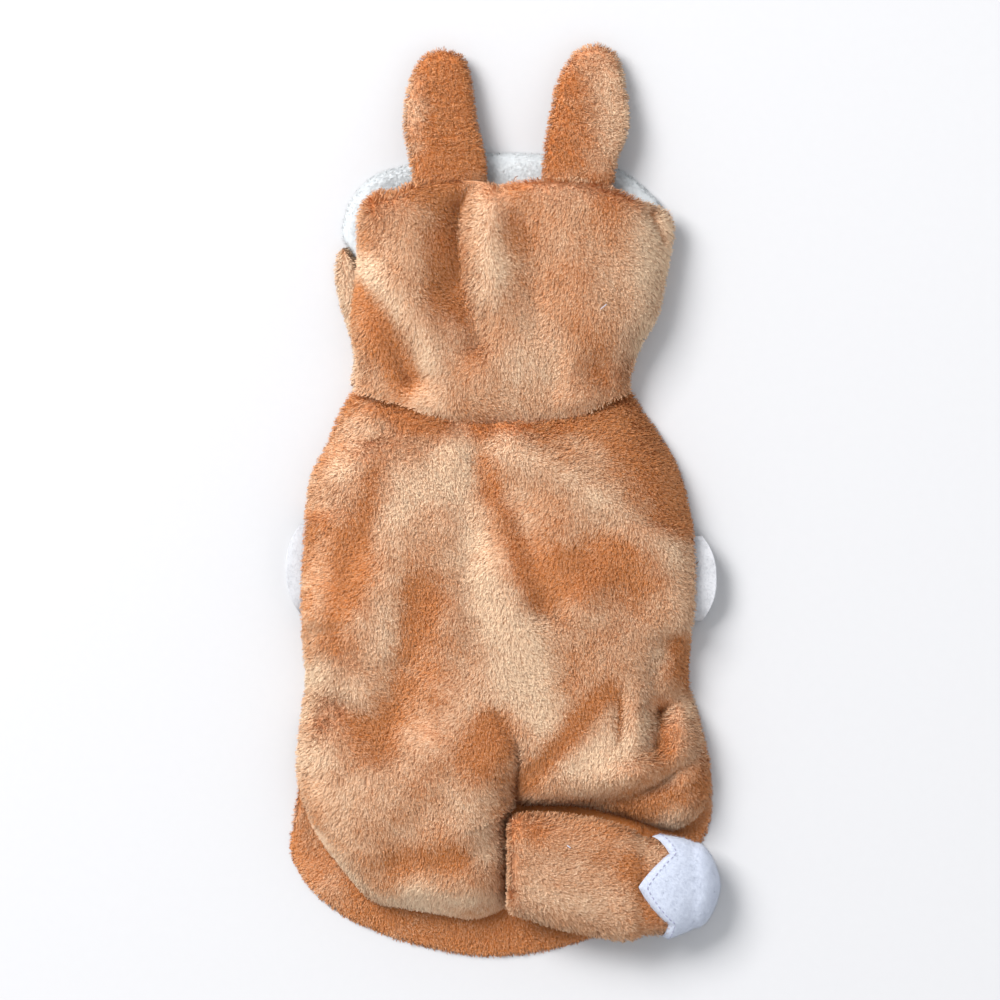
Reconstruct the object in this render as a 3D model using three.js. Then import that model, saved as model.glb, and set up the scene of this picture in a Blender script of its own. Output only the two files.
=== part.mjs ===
// A plush dog costume, laid flat with its back up: hood with two ears, back, belly, hem, sleeves and tail.
// Millimetres, +Z up, +Y towards the ears. The cloth rests on the plane z = 0.
import * as THREE from "three";

// Walls and gaps
const PLUSH_WALL = 4;
const SLEEVE_WALL = 3;
const FELT_WALL = 1.6;
const SEAM_GAP = 0.3;
const THINNEST_PLUSH = 2;

// Layers that lie on the surface
const BELLY_THICKNESS = 3;
const HEM_THICKNESS = 3.5;
const HOOD_FRONT_THICKNESS = 10;
const TRIM_THICKNESS = 8;
const TRIM_WIDTH = 22;
const SLEEVE_HEIGHT = 14;
const LAYER_BEVEL = 1.4;

// How far from an edge the cloth reaches its full height, and how squarely it turns
const SIDE_ROLL = 50;
const REAR_ROLL = 36;
const HOOD_SIDE_ROLL = 40;
const TOP_FOLD_ROLL = 15;
const ROLL_POWER = 2.3;

// The grids of the two large walls
const BACK_COLUMNS = 14;
const BACK_ROWS = 28;
const LEFT_LOBE_ROWS = 7;
const HOOD_COLUMNS = 26;
const HOOD_ROWS = 19;
const TRIM_STATIONS = 44;
const EDGE_CROWDING = 0.8;

// Turns rows of numbers into rows with named columns.
function table(columns, rows) {
  const names = columns.split(" ");
  return rows.map((row) => Object.fromEntries(row.map((value, i) => [names[i], value])));
}

// Outlines seen from above, walked from the neck towards the rear
const LEFT_SIDE = table("x y", [
  [-73, 52], [-79.7, 40.4], [-85.4, 26], [-93.1, 10], [-96, -15], [-97.7, -55.6],
  [-95.5, -86], [-97.4, -101], [-99.8, -125], [-98.4, -139.6], [-91.7, -157.8], [-80, -176],
]);
const RIGHT_SIDE = table("x y", [
  [62.4, 52], [69.1, 40.4], [78.7, 26], [86.4, 10], [91.7, -15], [93.1, -45],
  [89.8, -83], [93.6, -101], [99.6, -125], [99.8, -139.6], [97, -149], [91, -156.5],
]);
const LEFT_REAR = table("x y", [
  [-80, -176], [-67.7, -190], [-60, -195.2], [-47, -197.2], [-23, -201], [-11, -202.2], [2.9, -197],
]);
const RIGHT_REAR = table("x y", [
  [4.3, -147.5], [17.8, -147.5], [37, -148], [56.2, -152], [73, -157], [84, -159.5], [91, -156.5],
]);
const CENTRE_BACK = table("x y", [
  [-5.3, 36.6], [-4, -20], [-3, -60], [-1.9, -95], [3, -106], [7.2, -118], [6.2, -131], [4.3, -147.5],
]);
const DART_SEAM = table("x y", [
  [4.3, -147.5], [3, -157], [4.6, -168], [5.2, -178], [2.9, -197],
]);
const NECK_LEFT = table("x y", [
  [-73, 52], [-60.5, 49], [-43.7, 43.8], [-30.7, 39.5], [-19.7, 37.3], [-5.3, 36.6],
]);
const NECK_RIGHT = table("x y", [
  [-5.3, 36.6], [4.8, 37], [22.6, 38.5], [33.6, 40.4], [44.6, 43.8], [62.4, 52],
]);

// Outlines of the hood, walked from the neck towards the ears
const HOOD_LEFT = table("x y", [
  [-73, 52], [-70.6, 58], [-71.5, 69], [-73.4, 79], [-73.4, 91], [-70.6, 115], [-71, 134], [-68.5, 144],
]);
const HOOD_RIGHT = table("x y", [
  [62.4, 52], [61.9, 58], [64.8, 69], [69.6, 79], [75.8, 91], [80.6, 115], [83, 130], [80.5, 140],
]);
const TOP_FOLD = table("x y", [
  [-68.5, 144], [-62.4, 149], [-54.7, 148.6], [-46, 152.6], [-33.6, 154.7], [-15.4, 155.2],
  [-6.7, 153.7], [-2.4, 150.8], [3.4, 152.8], [15.8, 154.7], [40.3, 154.4], [56.6, 149.4],
  [68.6, 144.2], [80.5, 140],
]);
const TRIM_OUTER = table("x y", [
  [-78.6, 126], [-77, 137], [-73.4, 146], [-62.9, 156.6], [-45.6, 162.4], [-25, 166.2],
  [5.8, 167.6], [32.2, 165.7], [55.2, 160], [69.6, 149.9], [78, 138], [71, 115],
  [60, 92], [40, 73], [1, 65], [-40, 73], [-60, 92], [-71, 113],
]);
const HOOD_FRONT_TOP = 119;
const HOOD_FRONT_OUTER = table("x y", [
  [-78.6, 120], [-80.4, 112], [-80.6, 103], [-77.8, 91], [-73.4, 77], [-71.5, 66], [-72.5, 53],
  [-64, 53], [-62, 49.5], [50, 49.5], [53, 53], [60.6, 53], [60.6, 60], [63.3, 70], [68, 80], [74, 92], [78, 106], [79.6, 118],
]);
const HEM_OUTLINE = table("x y", [
  [-96, -114], [-98.4, -130], [-99.8, -144], [-102, -163], [-101.3, -171], [-97.4, -180],
  [-89.8, -190], [-75.8, -201], [-50.4, -211.6], [-30.2, -216.8], [-8.6, -219.5], [10.6, -218.6],
  [27.4, -215], [46.6, -209.2], [68.2, -197.2], [85, -180.4], [95, -164.5], [99.4, -154],
  [100.6, -142], [99.4, -130], [96.5, -114],
]);
const BELLY_STATIONS = [49.2, 46, 40, 33, 26, 18, 10, 0, -62, -69, -76];

// Crown heights along the body and the hood
const BODY_CROWN = table("y z", [
  [52, 25], [36, 27], [15, 34], [-40, 36], [-100, 34], [-140, 37], [-170, 36], [-205, 32],
]);
const HOOD_CROWN = table("y z", [
  [36, 26], [52, 29], [75, 33], [110, 35], [140, 34], [156, 33],
]);

// Folds pressed into the cloth: a depth below zero is a ridge
const BODY_FOLDS = table("x1 y1 x2 y2 width depth", [
  [-75, 28, -60, 35, 9, 3],
  [-15, 20, -14, -60, 10, 2.6],
  [12, 20, 22, -50, 9, 2.2],
  [61, -36, 64, -46, 20, 5],
  [30, -60, 56, -24, 9, -2],
  [56, -24, 86, -50, 9, -2],
  [-97, -93, -70, -96, 8, 5.5],
  [-96, -104, -74, -120, 9, 3.5],
  [-72, -92, -92, -118, 7, -2.5],
  [75, -102, 80, -126, 8, 4.5],
  [60, -95, 58, -118, 6, 2.4],
  [-40, -150, -62, -186, 10, 3],
  [-28, -60, -46, -150, 13, -2],
  [20, -132, 84, -140, 7, 3.2],
]);
const HOOD_FOLDS = table("x1 y1 x2 y2 width depth", [
  [-12, 150, -20, 138, 7, 4.5],
  [-21, 136, -20, 104, 9, 6],
  [-20, 104, -17, 90, 8, 4],
  [-65, 92, -41, 60, 9, 4.5],
  [-66, 104, -38, 64, 8, -2.5],
  [12, 134, 17, 88, 11, 3],
  [47, 62, 50, 58, 9, 3.5],
  [70, 135, 77, 122, 7, 2.5],
]);

// Stuffed and rolled pieces
const EAR_LEFT = table("y x width z", [
  [153.4, -25.6, 35, 15.2], [163, -26.6, 36.6, 15.2], [170, -28.2, 36.4, 14.8], [177, -29.6, 36.2, 13.6],
  [184, -30.3, 35, 12.4], [191.6, -30.5, 33.1, 11], [199, -30.2, 30.6, 9.6], [205, -29.6, 27, 8.6],
  [210, -29, 22.8, 7.8], [214, -28.8, 17, 7.2], [216.4, -29.4, 9.5, 6.8],
]);
const EAR_RIGHT = table("y x width z", [
  [153.4, 36, 34.6, 15.2], [163, 37, 35.6, 15.2], [170, 38.6, 37.6, 14.8], [177, 40.6, 38.8, 13.6],
  [184, 41.5, 38, 12.4], [191.6, 42, 36, 11], [199, 42.2, 33.2, 9.8], [206, 43, 28.8, 8.6],
  [211.5, 43.6, 23.6, 7.8], [216, 44.4, 16.4, 7.2], [218.6, 44.9, 9, 6.8],
]);
const EAR_TIPS = { ear_left: 217.2, ear_right: 219.5 };
const EAR_THICKNESS = 13;
const TAIL_SECTIONS = table("x top bottom height", [
  [5.9, -155, -196, 24], [8.5, -151.5, -199.6, 27], [13, -150, -201.5, 28], [27.4, -150, -206.6, 29],
  [46.6, -153, -210.6, 29], [60, -157, -212.3, 28], [65.8, -160.8, -210.2, 24.5], [79.2, -164, -209, 23.5],
  [89, -166.6, -204.6, 21], [96, -170.6, -198.4, 17.5], [100.2, -175.5, -191.5, 12],
]);
const TAIL_TIP_END = 102;
const TAIL_FLOOR = 3.9;
const PATCH_SECTIONS = table("x grow", [[79.7, 2.1], [85, 2.1], [91, 2.1], [96.5, 2.1], [100.4, 2.2]]);
const PATCH_END = 104.4;
const PATCH_TEETH = table("turn x", [
  [0, 71.5], [0.13, 79.7], [0.25, 64.8], [0.38, 79.2], [0.5, 76], [0.63, 79.2], [0.75, 64.8], [0.88, 79.7],
  [1, 71.5],
]);

// Where each sleeve leaves the body, and how far its felt cuff reaches
const SLEEVES = table("side y inside hem outside width", [
  [1, -38, 73, 91, 102.6, 41],
  [-1, -33.5, -75, -93.5, -104.4, 43],
]);

const MATERIALS = {
  plush: new THREE.MeshStandardMaterial({ color: 0xc98d57, roughness: 0.95, metalness: 0 }),
  felt: new THREE.MeshStandardMaterial({ color: 0xeeeef5, roughness: 0.9, metalness: 0 }),
  fleece: new THREE.MeshStandardMaterial({ color: 0xf4f3f1, roughness: 0.95, metalness: 0 }),
};

const mix = (a, b, t) => a + (b - a) * t;
const clamp = (value, low, high) => Math.min(high, Math.max(low, value));

function smoothstep(from, to, value) {
  const t = clamp((value - from) / (to - from), 0, 1);
  return t * t * (3 - 2 * t);
}

// A column of a table at a place along another column, by a smooth cubic through the rows.
function along(rows, key, column, at) {
  const down = rows[0][key] > rows[rows.length - 1][key];
  const list = down ? [...rows].reverse() : rows;
  const last = list.length - 1;
  const place = clamp(at, list[0][key], list[last][key]);
  let i = 0;
  while (i < last - 1 && place > list[i + 1][key]) i += 1;
  const slope = (k) => {
    const a = list[Math.max(k - 1, 0)];
    const b = list[Math.min(k + 1, last)];
    return (b[column] - a[column]) / (b[key] - a[key]);
  };
  const span = list[i + 1][key] - list[i][key];
  const t = (place - list[i][key]) / span;
  const rise = list[i + 1][column] - list[i][column];
  const m0 = slope(i) * span;
  const m1 = slope(i + 1) * span;
  return list[i][column] + t * (m0 + t * (3 * rise - 2 * m0 - m1 + t * (m0 + m1 - 2 * rise)));
}

// A smooth plan curve through a table's points, sampled by its share of length.
function planCurve(rows) {
  const curve = new THREE.SplineCurve(rows.map((p) => new THREE.Vector2(p.x, p.y)));
  return (share) => curve.getPointAt(clamp(share, 0, 1));
}

// Crowds samples towards the end of a row, or towards both of its ends, where the cloth turns down.
const crowdEnd = (t) => mix(t, Math.sin((Math.PI * t) / 2), EDGE_CROWDING);
const crowdBoth = (t) => mix(t, (1 - Math.cos(Math.PI * t)) / 2, EDGE_CROWDING);

// How high the cloth stands at a distance from its edge, from 0 at the edge to 1.
function roll(distance, reach) {
  const rest = 1 - clamp(distance / reach, 0, 1);
  return (1 - rest ** ROLL_POWER) ** (1 / ROLL_POWER);
}

// How deep the folds press in at a point of the plan.
function foldDepth(folds, x, y) {
  return folds.reduce((depth, f) => {
    const dx = f.x2 - f.x1;
    const dy = f.y2 - f.y1;
    const t = clamp(((x - f.x1) * dx + (y - f.y1) * dy) / (dx * dx + dy * dy), 0, 1);
    const away = Math.hypot(x - f.x1 - t * dx, y - f.y1 - t * dy);
    return depth + f.depth * Math.exp(-((away / f.width) ** 2));
  }, 0);
}

// A patch between four plan curves that meet at its corners.
function patch(left, right, front, rear) {
  const corners = [left(0), right(0), left(1), right(1)];
  return (u, v) => {
    const [a, b, f, r] = [left(v), right(v), front(u), rear(u)];
    const value = (c) =>
      mix(a[c], b[c], u) + mix(f[c], r[c], v) -
      mix(mix(corners[0][c], corners[1][c], u), mix(corners[2][c], corners[3][c], u), v);
    return new THREE.Vector2(value("x"), value("y"));
  };
}

// A closed mesh from points and faces that turn anticlockwise seen from outside.
function closedMesh(points, faces) {
  const geometry = new THREE.BufferGeometry();
  geometry.setAttribute("position", new THREE.Float32BufferAttribute(points.flat(), 3));
  geometry.setIndex(faces.flatMap((f) => f.slice(2).flatMap((_, i) => [f[0], f[i + 1], f[i + 2]])));
  geometry.computeVertexNormals();
  return geometry;
}

// A wall between an outer and an inner skin with the same faces, closed along every open edge.
function wall(outer, inner, faces) {
  const shift = outer.length;
  const edges = new Map();
  faces.forEach((f) => f.forEach((a, i) => edges.set(`${a} ${f[(i + 1) % f.length]}`, [a, f[(i + 1) % f.length]])));
  const rims = [...edges.values()]
    .filter(([a, b]) => !edges.has(`${b} ${a}`))
    .map(([a, b]) => [b, a, a + shift, b + shift]);
  const inside = faces.map((f) => [...f].reverse().map((i) => i + shift));
  return closedMesh([...outer, ...inner], [...faces, ...inside, ...rims]);
}

// The faces of a grid of rows; a wrapped grid joins its last column to its first.
function gridFaces(columns, rows, wrapped = false, start = 0) {
  const faces = [];
  const across = wrapped ? columns : columns - 1;
  for (let j = 0; j + 1 < rows; j += 1) {
    for (let i = 0; i < across; i += 1) {
      const next = (i + 1) % columns;
      const low = start + j * columns;
      faces.push([low + i, low + next, low + columns + next, low + columns + i]);
    }
  }
  return faces;
}

// The body back

const leftSide = planCurve(LEFT_SIDE);
const rightSide = planCurve(RIGHT_SIDE);
const centreBack = planCurve(CENTRE_BACK);
const dartSeam = planCurve(DART_SEAM);
const ALL_ROWS = BACK_ROWS + LEFT_LOBE_ROWS;

// The line between the two lobes at a row of the left lobe: the centre back, then the dart seam.
function centreAt(row) {
  if (row <= BACK_ROWS) return centreBack(crowdEnd(row / BACK_ROWS));
  return dartSeam(crowdEnd((row - BACK_ROWS) / LEFT_LOBE_ROWS));
}

// The height of the wall's lower edge: on the surface, over the sleeves, and on the hem layer.
function bodyEdgeHeight(x, y) {
  const sleeve = x > 0 ? SLEEVES[0] : SLEEVES[1];
  const away = Math.abs(y - sleeve.y) - sleeve.width / 2;
  const overSleeve = (SLEEVE_HEIGHT + 2 * SEAM_GAP) * (1 - smoothstep(1.5, 9, away));
  const overHem = (HEM_THICKNESS + SEAM_GAP) * smoothstep(-100, -110, y);
  return Math.max(overSleeve, overHem);
}

// The cloth's height on the body back at a plan point with its distances from the edges.
function bodyHeight(p, toSide, toRear, toDart) {
  const edge = bodyEdgeHeight(p.x, p.y);
  const opening = smoothstep(-98, -147, p.y);
  const dart = 1 - opening * (1 - roll(toDart, mix(8, 30, opening)));
  const share = roll(toSide, SIDE_ROLL) * roll(toRear, REAR_ROLL) * dart;
  const full = along(BODY_CROWN, "y", "z", p.y) - foldDepth(BODY_FOLDS, p.x, p.y);
  return mix(edge, full, share);
}

// One skin of the body back: the outer one, or the inner one that lies a wall's thickness inside it.
function backSkin(inset) {
  const points = [];
  const left = patch(
    (v) => leftSide(crowdEnd(v)), (v) => centreAt(v * ALL_ROWS), planCurve(NECK_LEFT), planCurve(LEFT_REAR),
  );
  const right = patch(
    (v) => centreAt(v * BACK_ROWS), (v) => rightSide(crowdEnd(v)), planCurve(NECK_RIGHT), planCurve(RIGHT_REAR),
  );
  const add = (p, side, rear, dart, isEdge) => {
    const edge = bodyEdgeHeight(p.x, p.y);
    const height = Math.max(bodyHeight(p, side, rear, dart) - inset, edge + (inset ? 0 : THINNEST_PLUSH));
    points.push([p.x, p.y, isEdge ? edge : height]);
  };
  for (let j = 0; j <= ALL_ROWS; j += 1) {
    const v = j / ALL_ROWS;
    const onDart = j >= BACK_ROWS;
    for (let i = 0; i <= BACK_COLUMNS; i += 1) {
      const u = crowdBoth(i / BACK_COLUMNS);
      const p = left(u, v);
      const side = p.distanceTo(leftSide(crowdEnd(v)));
      const rear = p.distanceTo(left(u, 1));
      const dart = Math.abs(p.x - centreAt(j).x);
      const shift = inset * (1 - u) - (onDart ? inset * u : 0);
      const q = new THREE.Vector2(p.x + shift, p.y + inset * v ** 6);
      const isEdge = i === 0 || j === ALL_ROWS || (onDart && i === BACK_COLUMNS);
      add(q, side, rear, dart, isEdge);
    }
  }
  for (let j = 0; j <= BACK_ROWS; j += 1) {
    const v = j / BACK_ROWS;
    for (let i = 1; i <= BACK_COLUMNS; i += 1) {
      const u = crowdBoth(i / BACK_COLUMNS);
      const p = right(u, v);
      const side = p.distanceTo(rightSide(crowdEnd(v)));
      const rear = p.distanceTo(right(u, 1));
      const dart = Math.abs(p.x - centreAt(j).x);
      const q = new THREE.Vector2(p.x - inset * u, p.y + inset * v ** 6);
      add(q, side, rear, dart, i === BACK_COLUMNS || j === BACK_ROWS);
    }
  }
  return points;
}

function backPanel() {
  const across = BACK_COLUMNS + 1;
  const leftPoints = across * (ALL_ROWS + 1);
  const faces = gridFaces(across, ALL_ROWS + 1);
  const at = (i, j) => (i === 0 ? j * across + BACK_COLUMNS : leftPoints + j * BACK_COLUMNS + i - 1);
  for (let j = 0; j < BACK_ROWS; j += 1) {
    for (let i = 0; i < BACK_COLUMNS; i += 1) {
      faces.push([at(i, j), at(i + 1, j), at(i + 1, j + 1), at(i, j + 1)]);
    }
  }
  return wall(backSkin(0), backSkin(PLUSH_WALL), faces.map((f) => [...f].reverse()));
}

// One side of the belly panel from the neck to the waist: beside the back's wall, and notched for the sleeve.
function bellySide(sleeve) {
  const side = sleeve.side > 0 ? RIGHT_SIDE : LEFT_SIDE;
  const beside = (y) => ({ x: along(side, "y", "x", y) - sleeve.side * (PLUSH_WALL + 5 * SEAM_GAP), y });
  const notch = sleeve.inside - sleeve.side * SEAM_GAP;
  const front = sleeve.y + sleeve.width / 2 + SEAM_GAP;
  const rear = sleeve.y - sleeve.width / 2 - SEAM_GAP;
  return [
    ...BELLY_STATIONS.filter((y) => y > front).map(beside),
    beside(front), { x: notch, y: front }, { x: notch, y: rear }, beside(rear),
    ...BELLY_STATIONS.filter((y) => y < rear).map(beside),
  ];
}

// The hood

const topFold = planCurve(TOP_FOLD);
const NECK = [...NECK_LEFT, ...NECK_RIGHT.slice(1)];
const hoodSeam = planCurve(NECK.map(({ x, y }) => ({ x, y: y + SEAM_GAP })));
const OVER_FRONT = HOOD_FRONT_THICKNESS + SEAM_GAP;
const OVER_EARS = TRIM_THICKNESS + EAR_THICKNESS + 1.3;

const trimLoop = new THREE.CatmullRomCurve3(TRIM_OUTER.map((p) => new THREE.Vector3(p.x, p.y, 0)), true);

// The height of the hood's lower edge: on the hood front at the sides, over the ears at the top.
function hoodEdgeHeight(p, toSide, toFold) {
  const atTop = 1 - smoothstep(2, 22, toFold);
  return mix(OVER_FRONT, OVER_EARS, atTop * smoothstep(5, 17, toSide));
}

function hoodSkin(inset) {
  const leftEdge = planCurve(HOOD_LEFT.map((p, i) => ({ x: p.x, y: p.y + (i ? 0 : SEAM_GAP) })));
  const rightEdge = planCurve(HOOD_RIGHT.map((p, i) => ({ x: p.x, y: p.y + (i ? 0 : SEAM_GAP) })));
  const place = patch((v) => leftEdge(crowdEnd(v)), (v) => rightEdge(crowdEnd(v)), hoodSeam, topFold);
  const points = [];
  for (let j = 0; j <= HOOD_ROWS; j += 1) {
    const v = j / HOOD_ROWS;
    for (let i = 0; i <= HOOD_COLUMNS; i += 1) {
      const u = crowdBoth(i / HOOD_COLUMNS);
      const p = place(u, v);
      const toLeft = p.distanceTo(leftEdge(crowdEnd(v)));
      const toRight = p.distanceTo(rightEdge(crowdEnd(v)));
      const toFold = p.distanceTo(place(u, 1));
      const q = new THREE.Vector2(p.x + inset * (1 - 2 * u), p.y - inset * v ** 6);
      const edge = hoodEdgeHeight(q, Math.min(toLeft, toRight), toFold);
      const share =
        roll(toLeft, HOOD_SIDE_ROLL) * roll(toRight, HOOD_SIDE_ROLL) * roll(toFold, TOP_FOLD_ROLL);
      const full = along(HOOD_CROWN, "y", "z", q.y) - foldDepth(HOOD_FOLDS, q.x, q.y);
      const isEdge = i === 0 || i === HOOD_COLUMNS || j === HOOD_ROWS;
      const height = Math.max(mix(edge, full, share) - inset, edge + (inset ? 0 : THINNEST_PLUSH));
      points.push([q.x, q.y, isEdge ? edge : height]);
    }
  }
  return points;
}

function hoodBack() {
  return wall(hoodSkin(0), hoodSkin(PLUSH_WALL), gridFaces(HOOD_COLUMNS + 1, HOOD_ROWS + 1));
}

// The upright band under the top fold, between the hood and the trim, where the ears are set in.
function hoodBrow() {
  const stations = 18;
  const section = [
    [-2, TRIM_THICKNESS + SEAM_GAP], [-2, OVER_EARS - SEAM_GAP],
    [-6, OVER_EARS - SEAM_GAP], [-6, TRIM_THICKNESS + SEAM_GAP],
  ];
  const points = [];
  for (let j = 0; j <= stations; j += 1) {
    const fold = topFold(mix(0.16, 0.84, j / stations));
    section.forEach(([back, z]) => points.push([fold.x, fold.y + back, z]));
  }
  return capped(points, section.length, stations + 1);
}

// Stations round the face opening, each moved inwards from the trim's outer edge by an inset.
function trimStation(share, inset) {
  const p = trimLoop.getPointAt(share);
  const way = trimLoop.getTangentAt(share);
  return [p.x + way.y * inset, p.y - way.x * inset];
}

// The fleece band round the face opening: its section walks round the outline.
function hoodTrim() {
  const section = [[0, 0], [0, 4.5], [2.2, 7.2], [6, TRIM_THICKNESS], [16, TRIM_THICKNESS], [19.8, 7.2],
    [TRIM_WIDTH, 4.5], [TRIM_WIDTH, 0]];
  const points = [];
  for (let j = 0; j < TRIM_STATIONS; j += 1) {
    section.forEach(([inset, z]) => points.push([...trimStation(j / TRIM_STATIONS, inset), z]));
  }
  const faces = gridFaces(section.length, TRIM_STATIONS, true);
  const last = (TRIM_STATIONS - 1) * section.length;
  section.forEach((_, i) => {
    const next = (i + 1) % section.length;
    faces.push([last + i, last + next, next, i]);
  });
  return closedMesh(points, faces);
}

// The hood front's outline: its outer edge, then back along the trim's outer edge.
function hoodFrontOutline() {
  const beside = [];
  for (let j = 0; j < TRIM_STATIONS; j += 1) {
    const [x, y] = trimStation(j / TRIM_STATIONS, -2 * SEAM_GAP);
    if (y < HOOD_FRONT_TOP) beside.push({ x, y });
  }
  return [...HOOD_FRONT_OUTER, ...beside];
}

// A flat layer of an outline, with its edges rounded off.
function layer(rows, thickness, bevel) {
  const shape = new THREE.Shape(rows.map((p) => new THREE.Vector2(p.x, p.y)));
  const geometry = new THREE.ExtrudeGeometry(shape, {
    depth: thickness - 2 * bevel,
    bevelEnabled: bevel > 0,
    bevelThickness: bevel,
    bevelSize: bevel,
    bevelOffset: -bevel,
    bevelSegments: 2,
  });
  return geometry.translate(0, 0, bevel);
}

// A flat layer's outline, made smooth.
function smoothOutline(rows, steps) {
  const curve = planCurve(rows);
  return Array.from({ length: steps + 1 }, (_, i) => curve(i / steps));
}

// Stuffed pieces

// Closes a row of rings with a flat face at each end.
function capped(points, around, rings) {
  const faces = gridFaces(around, rings, true);
  const ring = Array.from({ length: around }, (_, i) => i);
  const last = (rings - 1) * around;
  faces.push([...ring].reverse(), ring.map((i) => last + i));
  return closedMesh(points, faces);
}

// Closes a row of rings with a flat face at its start and a point at its end.
function pointed(points, around, rings, tip) {
  const faces = gridFaces(around, rings, true);
  const last = (rings - 1) * around;
  faces.push(Array.from({ length: around }, (_, i) => around - 1 - i));
  for (let i = 0; i < around; i += 1) faces.push([last + i, last + ((i + 1) % around), points.length]);
  return closedMesh([...points, tip], faces);
}

// A point of a rounded flat section: a turn of 0 is its left end, 0.25 its top, 0.5 its right end.
function ovalPoint(turn, halfWidth, halfHeight, power = 0.82) {
  const angle = Math.PI * (1 - 2 * turn);
  const part = (value) => Math.sign(value) * Math.abs(value) ** power;
  return [halfWidth * part(Math.cos(angle)), halfHeight * part(Math.sin(angle))];
}

function ear(rows, tipY) {
  const around = 16;
  const points = [];
  rows.forEach((row) => {
    const thickness = EAR_THICKNESS * clamp(row.width / 27, 0.3, 1) ** 0.6;
    for (let i = 0; i < around; i += 1) {
      const [x, z] = ovalPoint(i / around, row.width / 2, thickness / 2);
      points.push([row.x + x, row.y, row.z + z]);
    }
  });
  const end = rows[rows.length - 1];
  return pointed(points, around, rows.length, [end.x, tipY, end.z]);
}

// A ring of the tail across its length, grown outwards for the felt patch.
function tailRing(x, turn, grow) {
  const top = along(TAIL_SECTIONS, "x", "top", x);
  const bottom = along(TAIL_SECTIONS, "x", "bottom", x);
  const half = along(TAIL_SECTIONS, "x", "height", x) / 2;
  const [across, up] = ovalPoint(turn, (top - bottom) / 2 + grow, half + grow, 0.9);
  return [x, (top + bottom) / 2 - across, TAIL_FLOOR + half + 2 + up];
}

function tail() {
  const around = 20;
  const points = TAIL_SECTIONS.flatMap((row) => Array.from({ length: around }, (_, i) => {
    const [x, y, z] = tailRing(row.x, i / around, 0);
    return [x, y, Math.max(z, TAIL_FLOOR)];
  }));
  const end = TAIL_SECTIONS[TAIL_SECTIONS.length - 1];
  const tip = [TAIL_TIP_END, (end.top + end.bottom) / 2, TAIL_FLOOR + end.height / 2 + 2];
  return pointed(points, around, TAIL_SECTIONS.length, tip);
}

// The felt patch over the tail's end, open along its zigzag edge.
function tailTip() {
  const around = 32;
  const skin = (out) => {
    const rings = [(turn) => along(PATCH_TEETH, "turn", "x", turn)];
    PATCH_SECTIONS.forEach((row) => rings.push((turn) => Math.max(row.x, rings[0](turn) + 1)));
    const points = rings.flatMap((start) => Array.from({ length: around }, (_, i) => {
      const turn = i / around;
      const reach = clamp(start(turn), TAIL_SECTIONS[0].x, 100.2);
      const [x, y, z] = tailRing(reach, turn, 0.3 + out);
      return [x, y, Math.max(z, TAIL_FLOOR - 0.3 - out)];
    }));
    const middle = (TAIL_SECTIONS.at(-1).top + TAIL_SECTIONS.at(-1).bottom) / 2;
    points.push([PATCH_END - FELT_WALL + out, middle, TAIL_FLOOR + TAIL_SECTIONS.at(-1).height / 2 + 2]);
    return points;
  };
  const rings = PATCH_SECTIONS.length + 1;
  const faces = gridFaces(around, rings, true);
  const last = (rings - 1) * around;
  for (let i = 0; i < around; i += 1) faces.push([last + i, last + ((i + 1) % around), rings * around]);
  return wall(skin(FELT_WALL), skin(0), faces);
}

// Sleeves

// A flattened tube along X; its outer end is rounded in plan where a bow is given.
function sleeveTube(sleeve, from, to, thickness, bow) {
  const around = 20;
  const steps = 3;
  const skin = (inset) => {
    const points = [];
    for (let j = 0; j <= steps; j += 1) {
      for (let i = 0; i < around; i += 1) {
        const half = SLEEVE_HEIGHT / 2;
        const [y, z] = ovalPoint(i / around, sleeve.width / 2 - inset, half - inset, 0.75);
        const back = bow * Math.abs(y / (sleeve.width / 2)) ** 2.4 * (j / steps);
        points.push([mix(from, to, j / steps) - sleeve.side * back, sleeve.y - sleeve.side * y, half + z]);
      }
    }
    return points;
  };
  return wall(skin(0), skin(thickness), gridFaces(around, steps + 1, true));
}

// The costume

function makeCostume() {
  const costume = new THREE.Group();
  const add = (name, geometry, material) => {
    const mesh = new THREE.Mesh(geometry, MATERIALS[material]);
    mesh.name = name;
    costume.add(mesh);
  };
  const bellyOutline = [...bellySide(SLEEVES[0]), ...bellySide(SLEEVES[1]).reverse()];
  add("back_panel", backPanel(), "plush");
  add("belly_panel", layer(bellyOutline, BELLY_THICKNESS, 0), "plush");
  add("hem_panel", layer(smoothOutline(HEM_OUTLINE, 44), HEM_THICKNESS, LAYER_BEVEL), "plush");
  add("hood_back", hoodBack(), "plush");
  add("hood_front", layer(hoodFrontOutline(), HOOD_FRONT_THICKNESS, LAYER_BEVEL), "plush");
  add("hood_brow", hoodBrow(), "plush");
  add("hood_trim", hoodTrim(), "fleece");
  add("ear_left", ear(EAR_LEFT, EAR_TIPS.ear_left), "plush");
  add("ear_right", ear(EAR_RIGHT, EAR_TIPS.ear_right), "plush");
  add("tail", tail(), "plush");
  add("tail_tip", tailTip(), "felt");
  SLEEVES.forEach((sleeve) => {
    const end = sleeve.side > 0 ? "right" : "left";
    const seam = sleeve.hem + sleeve.side * SEAM_GAP;
    add(`sleeve_${end}`, sleeveTube(sleeve, sleeve.inside, sleeve.hem, SLEEVE_WALL, 0), "plush");
    add(`cuff_${end}`, sleeveTube(sleeve, seam, sleeve.outside, FELT_WALL, 7), "felt");
  });
  return costume;
}

export default makeCostume();
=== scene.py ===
"""A plush dog costume laid flat with its back up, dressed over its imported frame.

Tables are in millimetres and share the solids' sizes. Meshes and the cloths' cuts are in metres.
"""
import logging
from collections.abc import Callable
from dataclasses import dataclass
from enum import Enum

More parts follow.
